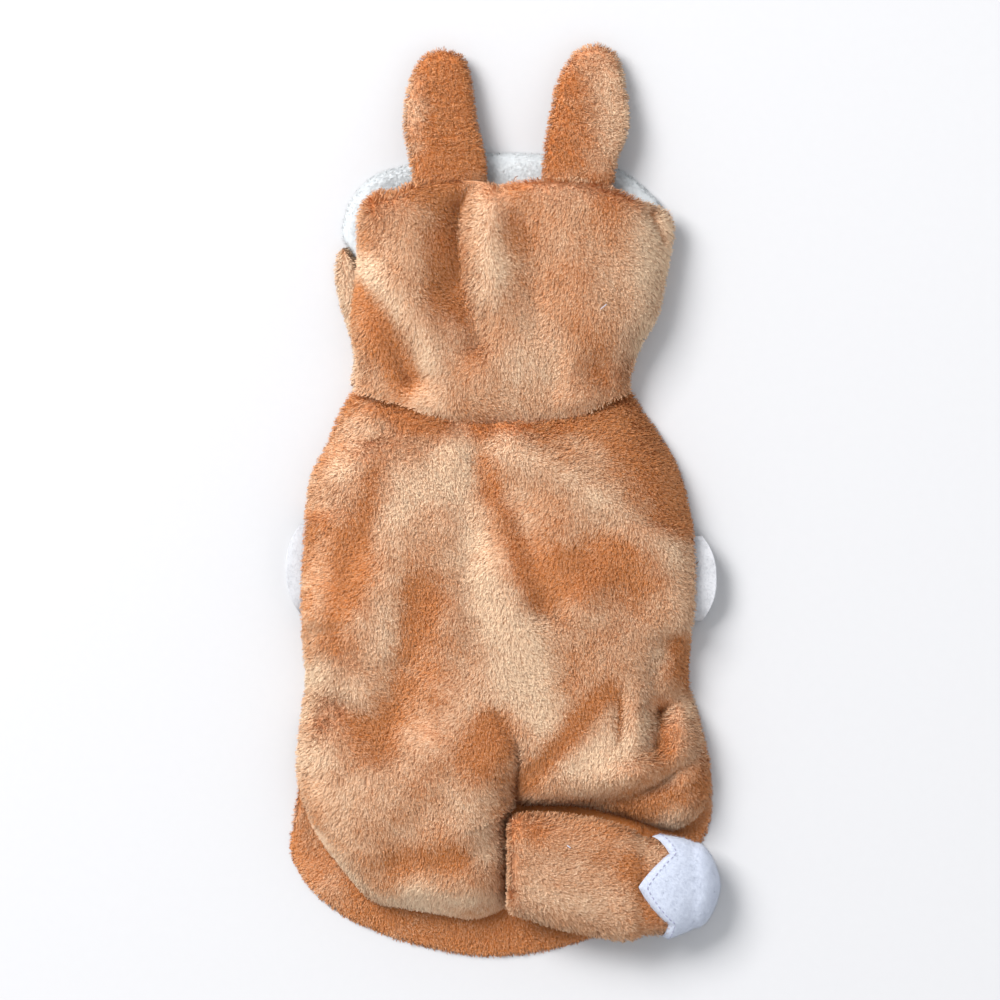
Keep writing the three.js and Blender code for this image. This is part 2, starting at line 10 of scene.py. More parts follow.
import bpy
import numpy as np
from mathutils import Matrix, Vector


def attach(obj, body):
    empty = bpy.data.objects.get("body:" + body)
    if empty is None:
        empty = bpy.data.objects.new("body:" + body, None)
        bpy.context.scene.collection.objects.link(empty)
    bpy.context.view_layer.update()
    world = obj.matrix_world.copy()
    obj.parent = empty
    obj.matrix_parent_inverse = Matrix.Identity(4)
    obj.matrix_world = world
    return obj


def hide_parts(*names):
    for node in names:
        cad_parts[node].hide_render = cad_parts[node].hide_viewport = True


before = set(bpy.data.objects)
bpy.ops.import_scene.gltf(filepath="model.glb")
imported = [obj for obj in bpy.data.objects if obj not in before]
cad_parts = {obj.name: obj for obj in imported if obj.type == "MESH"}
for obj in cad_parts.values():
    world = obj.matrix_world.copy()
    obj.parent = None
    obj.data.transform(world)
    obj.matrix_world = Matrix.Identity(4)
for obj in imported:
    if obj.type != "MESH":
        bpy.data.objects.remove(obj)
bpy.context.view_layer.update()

log = logging.getLogger("costume")
Array = np.ndarray
Rows = tuple[tuple[float, ...], ...]

MM = 0.001
ROOT = "root"
UP = np.array((0.0, 0.0, 1.0))
FLOOR_CLEARANCE = 0.1

# Cloth: how far the solids' surface stands over the backing, and how thick the walls are
PLUSH_WALL = 4.0
PILE_DEPTH = 2.5
SLEEVE_WALL = 3.0
FELT_WALL = 1.6
SEAM_GAP = 0.3
HEM_THICKNESS = 3.5
BELLY_THICKNESS = 3.0
HOOD_FRONT_THICKNESS = 10.0
TRIM_THICKNESS = 8.0
TRIM_WIDTH = 22.0
SLEEVE_HEIGHT = 14.0
EAR_THICKNESS = 13.0

# How far from an edge the cloth reaches its full height, and how squarely it turns
SIDE_ROLL = 50.0
REAR_ROLL = 36.0
HOOD_SIDE_ROLL = 40.0
TOP_FOLD_ROLL = 15.0
ROLL_POWER = 2.3
EDGE_CROWDING = 0.8

# How little the cloth rises over its lower edge, and how wide the groove at the neck seam is
LEAST_RISE = 0.4
NECK_GROOVE_WIDTH = 3.6

# Body rows of the solids: rows above the dart's end, and rows of the left lobe beside the tail
BACK_ROWS = 28
LEFT_LOBE_ROWS = 7
ALL_ROWS = BACK_ROWS + LEFT_LOBE_ROWS


class Slot(Enum):
    """Names of material slots."""

    PLUSH = "plush"
    FELT = "felt"
    FLEECE = "fleece"


class Layer(Enum):
    """Which side of a cloth a face belongs to."""

    FACE = 0
    BACKING = 1


def mix(a: Array | float, b: Array | float, t: Array | float) -> Array | float:
    """Blend from a to b by the share t."""
    return a + (b - a) * t


def smoothstep(low: float, high: float, value: Array) -> Array:
    """Rise smoothly from 0 at low to 1 at high."""
    t = np.clip((value - low) / (high - low), 0.0, 1.0)
    return t * t * (3.0 - 2.0 * t)


def crowd_end(t: Array) -> Array:
    """Crowd samples towards the end of a row."""
    return mix(t, np.sin(np.pi * t / 2), EDGE_CROWDING)


def crowd_both(t: Array) -> Array:
    """Crowd samples towards both ends of a row."""
    return mix(t, (1 - np.cos(np.pi * t)) / 2, EDGE_CROWDING)


def roll(distance: Array, reach: float | Array) -> Array:
    """Give the share of full height that cloth has at a distance from its edge."""
    rest = 1 - np.clip(distance / reach, 0.0, 1.0)
    return (1 - rest**ROLL_POWER) ** (1 / ROLL_POWER)


def unit(vectors: Array) -> Array:
    """Scale each vector to length one."""
    return vectors / np.maximum(np.linalg.norm(vectors, axis=-1, keepdims=True), 1e-9)


def waves(points: Array, size: float, seed: int, count: int = 7) -> Array:
    """Give a smooth uneven field of about -1 to 1 over points.

    Args:
        points: places in millimetres, one row each.
        size: rough distance between highs, in millimetres.
        seed: picks the field.
        count: how many waves are summed.

    Returns:
        One value for each point.
    """
    rng = np.random.default_rng(seed)
    ways = unit(rng.normal(size=(count, 3)))
    pace = 2 * np.pi / size * rng.uniform(0.6, 1.5, count)
    phase = rng.uniform(0, 2 * np.pi, count)
    total = np.zeros(len(points))
    for way, rate, start in zip(ways, pace, phase):
        total += np.sin(points @ way * rate + start)
    return total / np.sqrt(count) / 1.2


class PlanCurve:
    """A smooth plan curve through given points, read by its share of length."""

    def __init__(self, points: Rows) -> None:
        """Sample the curve closely once.

        Args:
            points: x and y of each point the curve passes through.
        """
        knots = np.array(points, float)
        last = len(knots) - 1
        t = np.linspace(0, last, 40 * last + 1)
        i = np.minimum(t.astype(int), last - 1)
        f = (t - i)[:, None]
        p0, p1, p2, p3 = (knots[np.clip(i + k, 0, last)] for k in (-1, 0, 1, 2))
        cubic = 2 * p1 + (p2 - p0) * f + (2 * p0 - 5 * p1 + 4 * p2 - p3) * f**2
        self._dense = 0.5 * (cubic + (3 * p1 - p0 - 3 * p2 + p3) * f**3)
        steps = np.linalg.norm(np.diff(self._dense, axis=0), axis=1)
        self._arc = np.concatenate([[0.0], np.cumsum(steps)])

    def share_of(self, knot: int) -> float:
        """Give the share of the curve's length at one of its points."""
        return float(self._arc[min(knot * 40, len(self._arc) - 1)] / self._arc[-1])

    def at(self, share: Array) -> Array:
        """Give the x and y at each share of the curve's length."""
        place = np.clip(share, 0, 1) * self._arc[-1]
        return np.stack([np.interp(place, self._arc, self._dense[:, k]) for k in (0, 1)], -1)


class Profile:
    """A smooth curve of one value over another, through a table's rows."""

    def __init__(self, keys: list[float], values: list[float]) -> None:
        """Keep the rows with their keys rising.

        Args:
            keys: where each value stands.
            values: the value there.
        """
        order = np.argsort(keys)
        self._keys = np.array(keys, float)[order]
        self._values = np.array(values, float)[order]
        k, v = self._keys, self._values
        low, high = np.maximum(np.arange(len(k)) - 1, 0), np.minimum(np.arange(len(k)) + 1, len(k) - 1)
        self._slopes = (v[high] - v[low]) / (k[high] - k[low])

    def at(self, place: Array) -> Array:
        """Read the profile at each place, held level past its ends.

        Args:
            place: where the profile is read.

        Returns:
            The value at each place.
        """
        k, v, m = self._keys, self._values, self._slopes
        x = np.clip(place, k[0], k[-1])
        i = np.clip(np.searchsorted(k, x) - 1, 0, len(k) - 2)
        span = k[i + 1] - k[i]
        t = (x - k[i]) / span
        rise, a, b = v[i + 1] - v[i], m[i] * span, m[i + 1] * span
        return v[i] + t * (a + t * (3 * rise - 2 * a - b + t * (a + b - 2 * rise)))


@dataclass(frozen=True)
class Folds:
    """Soft troughs and ridges in a cloth: x1 y1 x2 y2 width depth, a depth below zero being a ridge.

    A row that starts where the row before it ends carries that fold on, without a pit where they meet.
    """

    rows: Rows

    def depth(self, x: Array, y: Array) -> Array:
        """Give how deep the folds press in at plan places.

        Args:
            x: places across, in millimetres.
            y: places along, in millimetres.

        Returns:
            The depth in millimetres.
        """
        total = np.zeros_like(x)
        before = (0.0,) * 6
        for row in self.rows:
            x1, y1, x2, y2, width, depth = row
            dx, dy = x2 - x1, y2 - y1
            t = np.clip(((x - x1) * dx + (y - y1) * dy) / (dx * dx + dy * dy), 0, 1)
            away = np.hypot(x - x1 - t * dx, y - y1 - t * dy)
            total += depth * np.exp(-((away / width) ** 2))
            if before[2:4] == (x1, y1):
                wide, deep = (width + before[4]) / 2, (depth + before[5]) / 2
                total -= deep * np.exp(-((np.hypot(x - x1, y - y1) / wide) ** 2))
            before = row
        return total


class Patch:
    """A plan patch between four curves that meet at its corners."""

    def __init__(self, left: Callable, right: Callable, front: Callable, rear: Callable) -> None:
        """Keep the four sides, each a function of a share from 0 to 1."""
        self.left, self.right, self.front, self.rear = left, right, front, rear

    def at(self, u: Array, v: Array) -> Array:
        """Give the plan place of each pair of shares across (u) and along (v).

        Args:
            u: shares from the left side to the right.
            v: shares from the front side to the rear.

        Returns:
            The x and y of each pair.
        """
        zero, one = np.zeros_like(u), np.ones_like(u)
        uu, vv = u[..., None], v[..., None]
        sides = mix(self.left(v), self.right(v), uu) + mix(self.front(u), self.rear(u), vv)
        ends = [side(share) for share in (zero, one) for side in (self.left, self.right)]
        return sides - mix(mix(ends[0], ends[1], uu), mix(ends[2], ends[3], uu), vv)


def grid_faces(columns: int, rows: int, wrap: bool = False, closed: bool = False) -> Array:
    """Give the quads of a grid of points, row after row.

    Args:
        columns: points in a row.
        rows: rows of points.
        wrap: whether the last column joins the first.
        closed: whether the last row joins the first.

    Returns:
        One row of four point numbers for each quad.
    """
    i = np.arange(columns if wrap else columns - 1)
    j = np.arange(rows if closed else rows - 1)
    jj, ii = np.meshgrid(j, i, indexing="ij")
    next_i, next_j = (ii + 1) % columns, (jj + 1) % rows
    quads = [jj * columns + ii, jj * columns + next_i, next_j * columns + next_i, next_j * columns + ii]
    return np.stack(quads, -1).reshape(-1, 4)


@dataclass
class Surface:
    """One side of a cloth: points in millimetres and quads that turn anticlockwise seen from outside."""

    points: Array
    faces: Array

    def normals(self) -> Array:
        """Give the outward direction at each point.

        Returns:
            One direction of length one for each point.
        """
        p = self.points[self.faces]
        across = np.cross(p[:, 2] - p[:, 0], p[:, 3] - p[:, 1])
        total = np.zeros_like(self.points)
        for k in range(4):
            np.add.at(total, self.faces[:, k], across)
        return unit(total)

    def area(self, keep: Array | None = None) -> float:
        """Give the area in square metres, weighed by a share for each point where one is given.

        Args:
            keep: the share of each point, from 0 to 1.

        Returns:
            The area.
        """
        p = self.points[self.faces]
        across = np.linalg.norm(np.cross(p[:, 2] - p[:, 0], p[:, 3] - p[:, 1]), axis=1)
        weight = 1.0 if keep is None else keep[self.faces].mean(axis=1)
        return float((across * weight).sum() / 2 * MM * MM)

    def scatter(self, count: int, rng: np.random.Generator, keep: Array | None = None) -> tuple[Array, Array]:
        """Pick places spread evenly over the surface.

        Args:
            count: how many places.
            rng: the seeded source of chance.
            keep: a share from 0 to 1 for each point, of how thickly places fall there.

        Returns:
            The places and the outward directions there.
        """
        quads = self.faces
        tris = np.concatenate([quads[:, [0, 1, 2]], quads[:, [0, 2, 3]]])
        a, b, c = (self.points[tris[:, k]] for k in range(3))
        weight = np.linalg.norm(np.cross(b - a, c - a), axis=1)
        if keep is not None:
            weight = weight * keep[tris].mean(axis=1)
        pick = rng.choice(len(tris), count, p=weight / weight.sum())
        r, s = np.sqrt(rng.random(count)), rng.random(count)
        share = np.stack([1 - r, r * (1 - s), r * s], -1)[..., None]
        normals = self.normals()
        places = (self.points[tris[pick]] * share).sum(axis=1)
        return places, unit((normals[tris[pick]] * share).sum(axis=1))


def link_piece(name: str, mesh: bpy.types.Mesh) -> bpy.types.Object:
    """Put a mesh in the scene as a piece of the garment's one body.

    Args:
        name: the piece's name.
        mesh: its mesh, in metres.

    Returns:
        The piece.
    """
    piece = bpy.data.objects.new(name, mesh)
    bpy.context.scene.collection.objects.link(piece)
    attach(piece, ROOT)
    log.info("%s: %d points", name, len(mesh.vertices))
    return piece


def fill_mesh(name: str, points: Array, corners: Array, sizes: Array) -> bpy.types.Mesh:
    """Make a mesh from arrays.

    Args:
        name: the mesh's name.
        points: places in millimetres.
        corners: the point numbers of all faces in one row.
        sizes: how many corners each face has.

    Returns:
        The mesh, in metres.
    """
    mesh = bpy.data.meshes.new(name)
    mesh.vertices.add(len(points))
    mesh.vertices.foreach_set("co", (points * MM).astype(np.float32).ravel())
    mesh.loops.add(len(corners))
    mesh.loops.foreach_set("vertex_index", corners.astype(np.int32))
    mesh.polygons.add(len(sizes))
    starts = np.concatenate([[0], np.cumsum(sizes)[:-1]]).astype(np.int32)
    mesh.polygons.foreach_set("loop_start", starts)
    mesh.polygons.foreach_set("use_smooth", np.ones(len(sizes), bool))
    mesh.update(calc_edges=True)
    return mesh


def add_values(mesh: bpy.types.Mesh, name: str, values: Array) -> None:
    """Store one number for each point of a mesh."""
    mesh.attributes.new(name, "FLOAT", "POINT").data.foreach_set("value", values.astype(np.float32))


def rim_faces(faces: Array, shift: int) -> Array:
    """Close a sheet's open edges to its other side, whose points stand shift places later.

    Args:
        faces: the sheet's quads.
        shift: how many places later the other side's points stand.

    Returns:
        The quads of the rim.
    """
    edges = np.concatenate([faces[:, [k, (k + 1) % 4]] for k in range(4)])
    edges = edges[edges[:, 0] != edges[:, 1]]
    there = edges[:, 0] * shift + edges[:, 1]
    back = edges[:, 1] * shift + edges[:, 0]
    open_edges = edges[~np.isin(there, back)]
    a, b = open_edges.T
    return np.stack([b, a, a + shift, b + shift], -1)


def cloth_piece(
    name: str,
    outer: Surface,
    inner: Array,
    finishes: list[bpy.types.Material],
    tone: Array | None = None,
) -> bpy.types.Object:
    """Make a thin closed cloth from its two sides.

    Args:
        name: the piece's name.
        outer: the side that shows.
        inner: the other side's points, in the same order.
        finishes: the material of the face and of the backing.
        tone: how pale the plush is coloured at each outer point, painted shade and highlight of the folds
            included.

    Returns:
        The piece.
    """
    shift = len(outer.points)
    points = np.concatenate([outer.points, inner])
    rims = rim_faces(outer.faces, shift)
    faces = np.concatenate([outer.faces, outer.faces[:, ::-1] + shift, rims])
    mesh = fill_mesh(name, points, faces.ravel(), np.full(len(faces), 4))
    for finish in finishes:
        mesh.materials.append(finish)
    layers = np.full(len(faces), Layer.FACE.value, np.int32)
    layers[len(outer.faces):2 * len(outer.faces)] = Layer.BACKING.value if len(finishes) > 1 else 0
    mesh.polygons.foreach_set("material_index", layers)
    shade = np.full(shift, 0.5) if tone is None else tone
    add_values(mesh, "tone", np.concatenate([shade, shade]))
    add_values(mesh, "tip", np.zeros(2 * shift))
    mesh.validate()
    return link_piece(name, mesh)


@dataclass(frozen=True)
class ToneAndShade:
    """How pale or rich the plush is coloured, from the nap's own lie and from painted light: painted shade in
    fold troughs and on slopes turned from the lamp, painted highlight on ridges. Rows: x1 y1 x2 y2 width
    strength, above zero being pale.
    """

    rows: Rows
    seed: int
    base: float = 0.4
    uneven: float = 0.13

    def at(self, places: Array) -> Array:
        """Give how pale the plush is coloured at each place, from 0 to 1, painted shade and highlight of the
        folds included.

        Args:
            places: places in millimetres, one row each.

        Returns:
            One value for each place.
        """
        lean = Folds(self.rows).depth(places[:, 0], places[:, 1])
        patches = waves(places, 46.0, self.seed) * self.uneven + waves(places, 17.0, self.seed + 1) * 0.09
        patches += waves(places, 7.0, self.seed + 2) * 0.06
        return np.clip(self.base + lean + patches, 0.0, 1.0)


@dataclass(frozen=True)
class Pile:
    """The standing fibre of a cloth, made of tapered locks a few fibres wide.

    Lengths are in millimetres, the lean is the sine of the angle from upright.
    """

    length: float = 3.2
    width: float = 0.36
    lean: float = 0.68
    spread: float = 0.22
    per_mm2: float = 7.2
    clump: float = 2.6
    pull: float = 0.3
    brush: tuple[float, float] = (0.0, -1.0)
    blunt: float = 0.6

    def comb(self, places: Array, normals: Array, seed: int) -> Array:
        """Give the way the pile is brushed, with slow swirls.

        Args:
            places: the roots of the locks.
            normals: the outward direction at each root.
            seed: picks the swirls.

        Returns:
            One direction along the cloth for each root.
        """
        turn = waves(places, 70.0, seed) * 0.75 + waves(places, 22.0, seed + 5) * 0.35
        across, along = self.brush
        swung = (across * np.cos(turn) - along * np.sin(turn), across * np.sin(turn) + along * np.cos(turn))
        way = np.stack([*swung, np.full(len(turn), -0.12)], -1)
        way -= normals * (way * normals).sum(axis=1, keepdims=True)
        return unit(way)

    def clump_pull(self, places: Array, seed: int) -> Array:
        """Give each lock's way towards the middle of the tuft it belongs to, seen from above.

        Args:
            places: the roots of the locks.
            seed: picks where the tufts stand.

        Returns:
            The way of each lock, as a share of a tuft's width.
        """
        # A fixed scramble of each cell's numbers places one tuft in it
        cell = np.floor(places[:, :2] / self.clump)
        best = np.full(len(places), np.inf)
        way = np.zeros((len(places), 3))
        for dx in (-1, 0, 1):
            for dy in (-1, 0, 1):
                near = cell + (dx, dy)
                mark = near[:, 0] * 127.1 + near[:, 1] * 311.7 + seed * 17.3
                jitter = np.stack([np.sin(mark) * 43758.5, np.sin(mark * 1.7 + 3.1) * 24634.6], -1) % 1.0
                offset = (near + jitter) * self.clump - places[:, :2]
                distance = (offset**2).sum(axis=1)
                closer = distance < best
                best[closer] = distance[closer]
                way[closer, :2] = offset[closer]
        return way / self.clump

    def grow(
        self,
        name: str,
        surface: Surface,
        tone_and_shade: ToneAndShade,
        finish: bpy.types.Material,
        slot: Slot,
        seed: int,
        keep: Array | None = None,
        most: int = 190_000,
    ) -> list[bpy.types.Object]:
        """Cover a surface with pile.

        Args:
            name: what the pieces' names start with.
            surface: the cloth it stands on.
            tone_and_shade: how pale the plush is coloured, painted shade and highlight of the folds included.
            finish: its material.
            slot: handed on to each piece.
            seed: fixes every random draw.
            keep: how thickly it stands at each point, from 0 to 1.
            most: the most locks in one piece.

        Returns:
            The pieces of pile.
        """
        rng = np.random.default_rng(seed)
        count = int(surface.area(keep) / MM / MM * self.per_mm2)
        roots, normals = surface.scatter(count, rng, keep)
        order = np.argsort(-roots[:, 1])
        roots, normals = roots[order], normals[order]
        comb = self.comb(roots, normals, seed)
        jitter = rng.normal(size=roots.shape) * self.spread
        tuft = self.clump_pull(roots, seed) * self.pull
        way = unit(normals * np.sqrt(1 - self.lean**2) + comb * self.lean + jitter + tuft)
        way += normals * np.maximum(0.25 - (way * normals).sum(axis=1, keepdims=True), 0)
        length = self.length * rng.uniform(0.72, 1.12, (count, 1))
        side = unit(np.cross(way, normals) + rng.normal(size=roots.shape) * 0.35)
        half = self.width / 2 * rng.uniform(0.7, 1.25, (count, 1))
        tips = roots + unit(way) * length
        is_blunt = (rng.random(count) < self.blunt)[:, None]
        wide, point = np.where(is_blunt, tips, roots), np.where(is_blunt, roots, tips)
        locks = np.stack([wide - side * half, wide + side * half, point], 1)
        rise = np.stack([is_blunt[:, 0], is_blunt[:, 0], ~is_blunt[:, 0]], 1).astype(float)
        locks[:, :, 2] = np.maximum(locks[:, :, 2], FLOOR_CLEARANCE)
        facing = np.cross(locks[:, 1] - locks[:, 0], locks[:, 2] - locks[:, 0])
        turned = (facing * (normals + UP * 0.7)).sum(axis=1) < 0
        locks[turned] = locks[turned][:, [1, 0, 2]]
        shade = unit(normals + UP * 0.2 + way * 0.15 + rng.normal(size=roots.shape) * 0.13)
        tone = np.clip(tone_and_shade.at(roots) + rng.normal(size=count) * 0.11, 0, 1)
        pieces = []
        parts = int(np.ceil(count / most))
        for k, part in enumerate(np.array_split(np.arange(count), parts)):
            title = f"{name}_{k + 1}" if parts > 1 else name
            some = locks[part], rise[part], shade[part], tone[part]
            pieces.append(self._piece(title, *some, finish, slot, rng))
        log.info("%s: %d locks in %d pieces", name, count, parts)
        return pieces

    def _piece(
        self,
        name: str,
        locks: Array,
        rise: Array,
        shade: Array,
        tone: Array,
        finish: bpy.types.Material,
        slot: Slot,
        rng: np.random.Generator,
    ) -> bpy.types.Object:
        """Join locks into one mesh with its colours and a flat layout.

        Args:
            name: the piece's name.
            locks: the three corners of each lock.
            rise: how far up the pile each corner stands, from 0 to 1.
            shade: the direction that each lock is lit as facing.
            tone: how pale each lock is coloured, painted shade and highlight of the folds included.
            finish: its material.
            slot: not used.
            rng: the seeded source of chance.

        Returns:
            The piece.
        """
        count = len(locks)
        mesh = fill_mesh(name, locks.reshape(-1, 3), np.arange(3 * count), np.full(count, 3))
        normal = mesh.attributes.new("custom_normal", "FLOAT_VECTOR", "POINT")
        normal.data.foreach_set("vector", np.repeat(shade, 3, axis=0).astype(np.float32).ravel())
        add_values(mesh, "tone", np.repeat(tone, 3))
        add_values(mesh, "tip", rise.ravel())
        add_values(mesh, "lock", np.repeat(rng.random(count), 3))
        plan = locks[:, :, :2] + locks[:, :, 2:] * 0.31
        low, high = plan.min(axis=(0, 1)), plan.max(axis=(0, 1))
        layout = (plan - low) / (high - low).max()
        mesh.uv_layers.new(name="OFBake").uv.foreach_set("vector", layout.astype(np.float32).ravel())
        mesh.materials.append(finish)
        mesh.update()
        return link_piece(name, mesh)


FELT_FUZZ = Pile(length=0.9, width=0.16, lean=0.5, spread=0.9, per_mm2=3.0, clump=2.0, pull=0.1)


class Nodes:
    """A material's shader, built node by node."""

    def __init__(self, name: str) -> None:
        """Start a material with one Principled surface.

        Args:
            name: the material's name.
        """
        self.material = bpy.data.materials.new(name)
        self.material.use_nodes = True
        self.tree = self.material.node_tree
        self.surface = self.tree.nodes["Principled BSDF"]

    def add(self, kind: str, values: dict | None = None, **settings: object) -> bpy.types.Node:
        """Add a node.

        Args:
            kind: the node's type name after ShaderNode.
            values: input name or number to a value or to another node's output.
            settings: the node's own settings.

        Returns:
            The node.
        """
        node = self.tree.nodes.new("ShaderNode" + kind)
        for key, value in settings.items():
            setattr(node, key, value)
        self.feed(node, values or {})
        return node

    def feed(self, node: bpy.types.Node, values: dict) -> None:
        """Set or link inputs of a node.

        Args:
            node: the node.
            values: input name or number to a value or to another node's output.
        """
        for key, value in values.items():
            if isinstance(value, bpy.types.NodeSocket):
                self.tree.links.new(value, node.inputs[key])
            else:
                node.inputs[key].default_value = value

    def blend(self, share: object, a: object, b: object) -> bpy.types.NodeSocket:
        """Mix two colours by a share."""
        return self.add("Mix", {0: share, 6: a, 7: b}, data_type="RGBA").outputs[2]

    def value(self, name: str) -> bpy.types.NodeSocket:
        """Read a number stored on the mesh."""
        return self.add("Attribute", attribute_name=name).outputs["Fac"]

    def noise(self, scale: float, detail: float = 2.0, stretch: tuple = (1, 1, 1)) -> bpy.types.NodeSocket:
        """Give fine noise fixed to the piece, scale being waves to the metre.

        Args:
            scale: how fine the noise is.
            detail: how many finer layers it has.
            stretch: how much finer it is along each axis.

        Returns:
            The noise, from 0 to 1.
        """
        place = self.add("TexCoord").outputs["Object"]
        moved = self.add("Mapping", {"Vector": place, "Scale": stretch}).outputs[0]
        return self.add("TexNoise", {"Vector": moved, "Scale": scale, "Detail": detail}).outputs[0]

    def spread(self, value: object, low: float, high: float) -> bpy.types.NodeSocket:
        """Stretch a value from low..high to 0..1."""
        return self.add("MapRange", {"Value": value, "From Min": low, "From Max": high}).outputs[0]

    def bump(self, height: object, depth: float, strength: float = 0.6) -> None:
        """Raise the surface by a height, depth being in millimetres."""
        node = self.add("Bump", {"Height": height, "Distance": depth * MM, "Strength": strength})
        self.feed(self.surface, {"Normal": node.outputs[0]})


Colour = tuple[float, float, float, float]


@dataclass(frozen=True)
class PlushFinish:
    """Short-pile plush: rich where one looks into the pile, pale where the fibres lie flat, with painted
    shade towards the roots.
    """

    rich: Colour = (0.57, 0.175, 0.032, 1)
    pale: Colour = (1.0, 0.78, 0.55, 1)
    # root: painted shade deep in the pile, mixed in towards the locks' roots and over the cloth beneath; the
    # backing's darker rows use it too
    root: Colour = (0.48, 0.15, 0.035, 1)
    knit: Colour = (0.62, 0.42, 0.27, 1)

    def pile(self) -> bpy.types.Material:
        """Give the finish of the face and of its pile.

        Returns:
            The material.
        """
        n = Nodes("plush")
        tone = n.blend(n.spread(n.value("tone"), 0.08, 0.92), self.rich, self.pale)
        flecks = n.spread(n.noise(900, 3), 0.3, 0.7)
        fine = n.blend(flecks, tone, n.blend(0.3, tone, self.pale))
        lit = n.blend(n.spread(n.value("lock"), -0.4, 1.3), n.blend(0.35, fine, self.rich), fine)
        # Painted shade: the colour is mixed towards the root colour near each lock's root and on the cloth
        # under the pile
        deep = n.spread(n.value("tip"), -0.5, 0.6)
        colour = n.blend(deep, n.blend(0.6, tone, self.root), lit)
        n.feed(n.surface, {"Base Color": colour, "Roughness": 0.82})
        n.feed(n.surface, {"Sheen Weight": 0.2, "Sheen Roughness": 0.45, "Sheen Tint": (1, 0.78, 0.55, 1)})
        n.feed(n.surface, {"Specular IOR Level": 0.12})
        return n.material

    def backing(self) -> bpy.types.Material:
        """Give the knitted backing's finish, with its rows of loops.

        Returns:
            The material.
        """
        n = Nodes("plush_backing")
        place = n.add("TexCoord").outputs["Object"]
        wales = n.add("TexWave", {"Vector": place, "Scale": 260, "Distortion": 1.2, "Detail": 1}).outputs[1]
        colour = n.blend(n.spread(wales, 0.2, 0.9), n.blend(0.45, self.knit, self.root), self.knit)
        n.feed(n.surface, {"Base Color": colour, "Roughness": 0.9, "Sheen Weight": 0.1})
        n.bump(wales, 0.3)
        return n.material


@dataclass(frozen=True)
class WhiteFinish:
    """White cloth: felt with matted fibre, or fleece with a soft curl."""

    name: str
    colour: Colour
    shade: Colour
    grain: float
    depth: float

    def make(self) -> bpy.types.Material:
        """Give the cloth's finish.

        Returns:
            The material.
        """
        n = Nodes(self.name)
        grain = n.noise(self.grain, 4)
        patches = n.spread(n.noise(60, 2), 0.35, 0.7)
        mottled = n.blend(n.spread(grain, 0.35, 0.65), self.shade, self.colour)
        colour = n.blend(patches, mottled, n.blend(0.6, mottled, self.colour))
        n.feed(n.surface, {"Base Color": colour, "Roughness": 0.88, "Sheen Weight": 0.25})
        n.feed(n.surface, {"Sheen Roughness": 0.5, "Specular IOR Level": 0.2})
        n.bump(grain, self.depth)
        return n.material


@dataclass(frozen=True)
class ThreadFinish:
    """Spun sewing thread with its twist."""

    name: str
    colour: Colour

    def make(self) -> bpy.types.Material:
        """Give the thread's finish.

        Returns:
            The material.
        """
        n = Nodes(self.name)
        twist = n.noise(2600, 2, (1, 1, 3))
        dark = tuple(c * 0.6 for c in self.colour[:3]) + (1,)
        n.feed(n.surface, {"Base Color": n.blend(n.spread(twist, 0.3, 0.7), dark, self.colour)})
        n.feed(n.surface, {"Roughness": 0.55, "Sheen Weight": 0.2})
        n.bump(twist, 0.05)
        return n.material


@dataclass(frozen=True)
class Finishes:
    """Every material of the costume."""

    plush: bpy.types.Material
    backing: bpy.types.Material
    felt: bpy.types.Material
    cuff: bpy.types.Material
    fleece: bpy.types.Material
    thread: bpy.types.Material
    brown_thread: bpy.types.Material


def make_finishes() -> Finishes:
    """Build every material once.

    Returns:
        The costume's materials.
    """
    plush = PlushFinish()
    felt = WhiteFinish("felt", (0.52, 0.56, 0.66, 1), (0.45, 0.49, 0.59, 1), 1500, 0.12)
    cuff = WhiteFinish("cuff_felt", (0.56, 0.57, 0.60, 1), (0.50, 0.51, 0.54, 1), 1500, 0.12)
    fleece = WhiteFinish("fleece", (0.66, 0.69, 0.71, 1), (0.60, 0.63, 0.65, 1), 700, 0.1)
    thread = ThreadFinish("felt_thread", (0.38, 0.38, 0.57, 1))
    brown = ThreadFinish("brown_thread", (0.30, 0.14, 0.07, 1))
    white = felt.make(), cuff.make(), fleece.make()
    return Finishes(plush.pile(), plush.backing(), *white, thread.make(), brown.make())


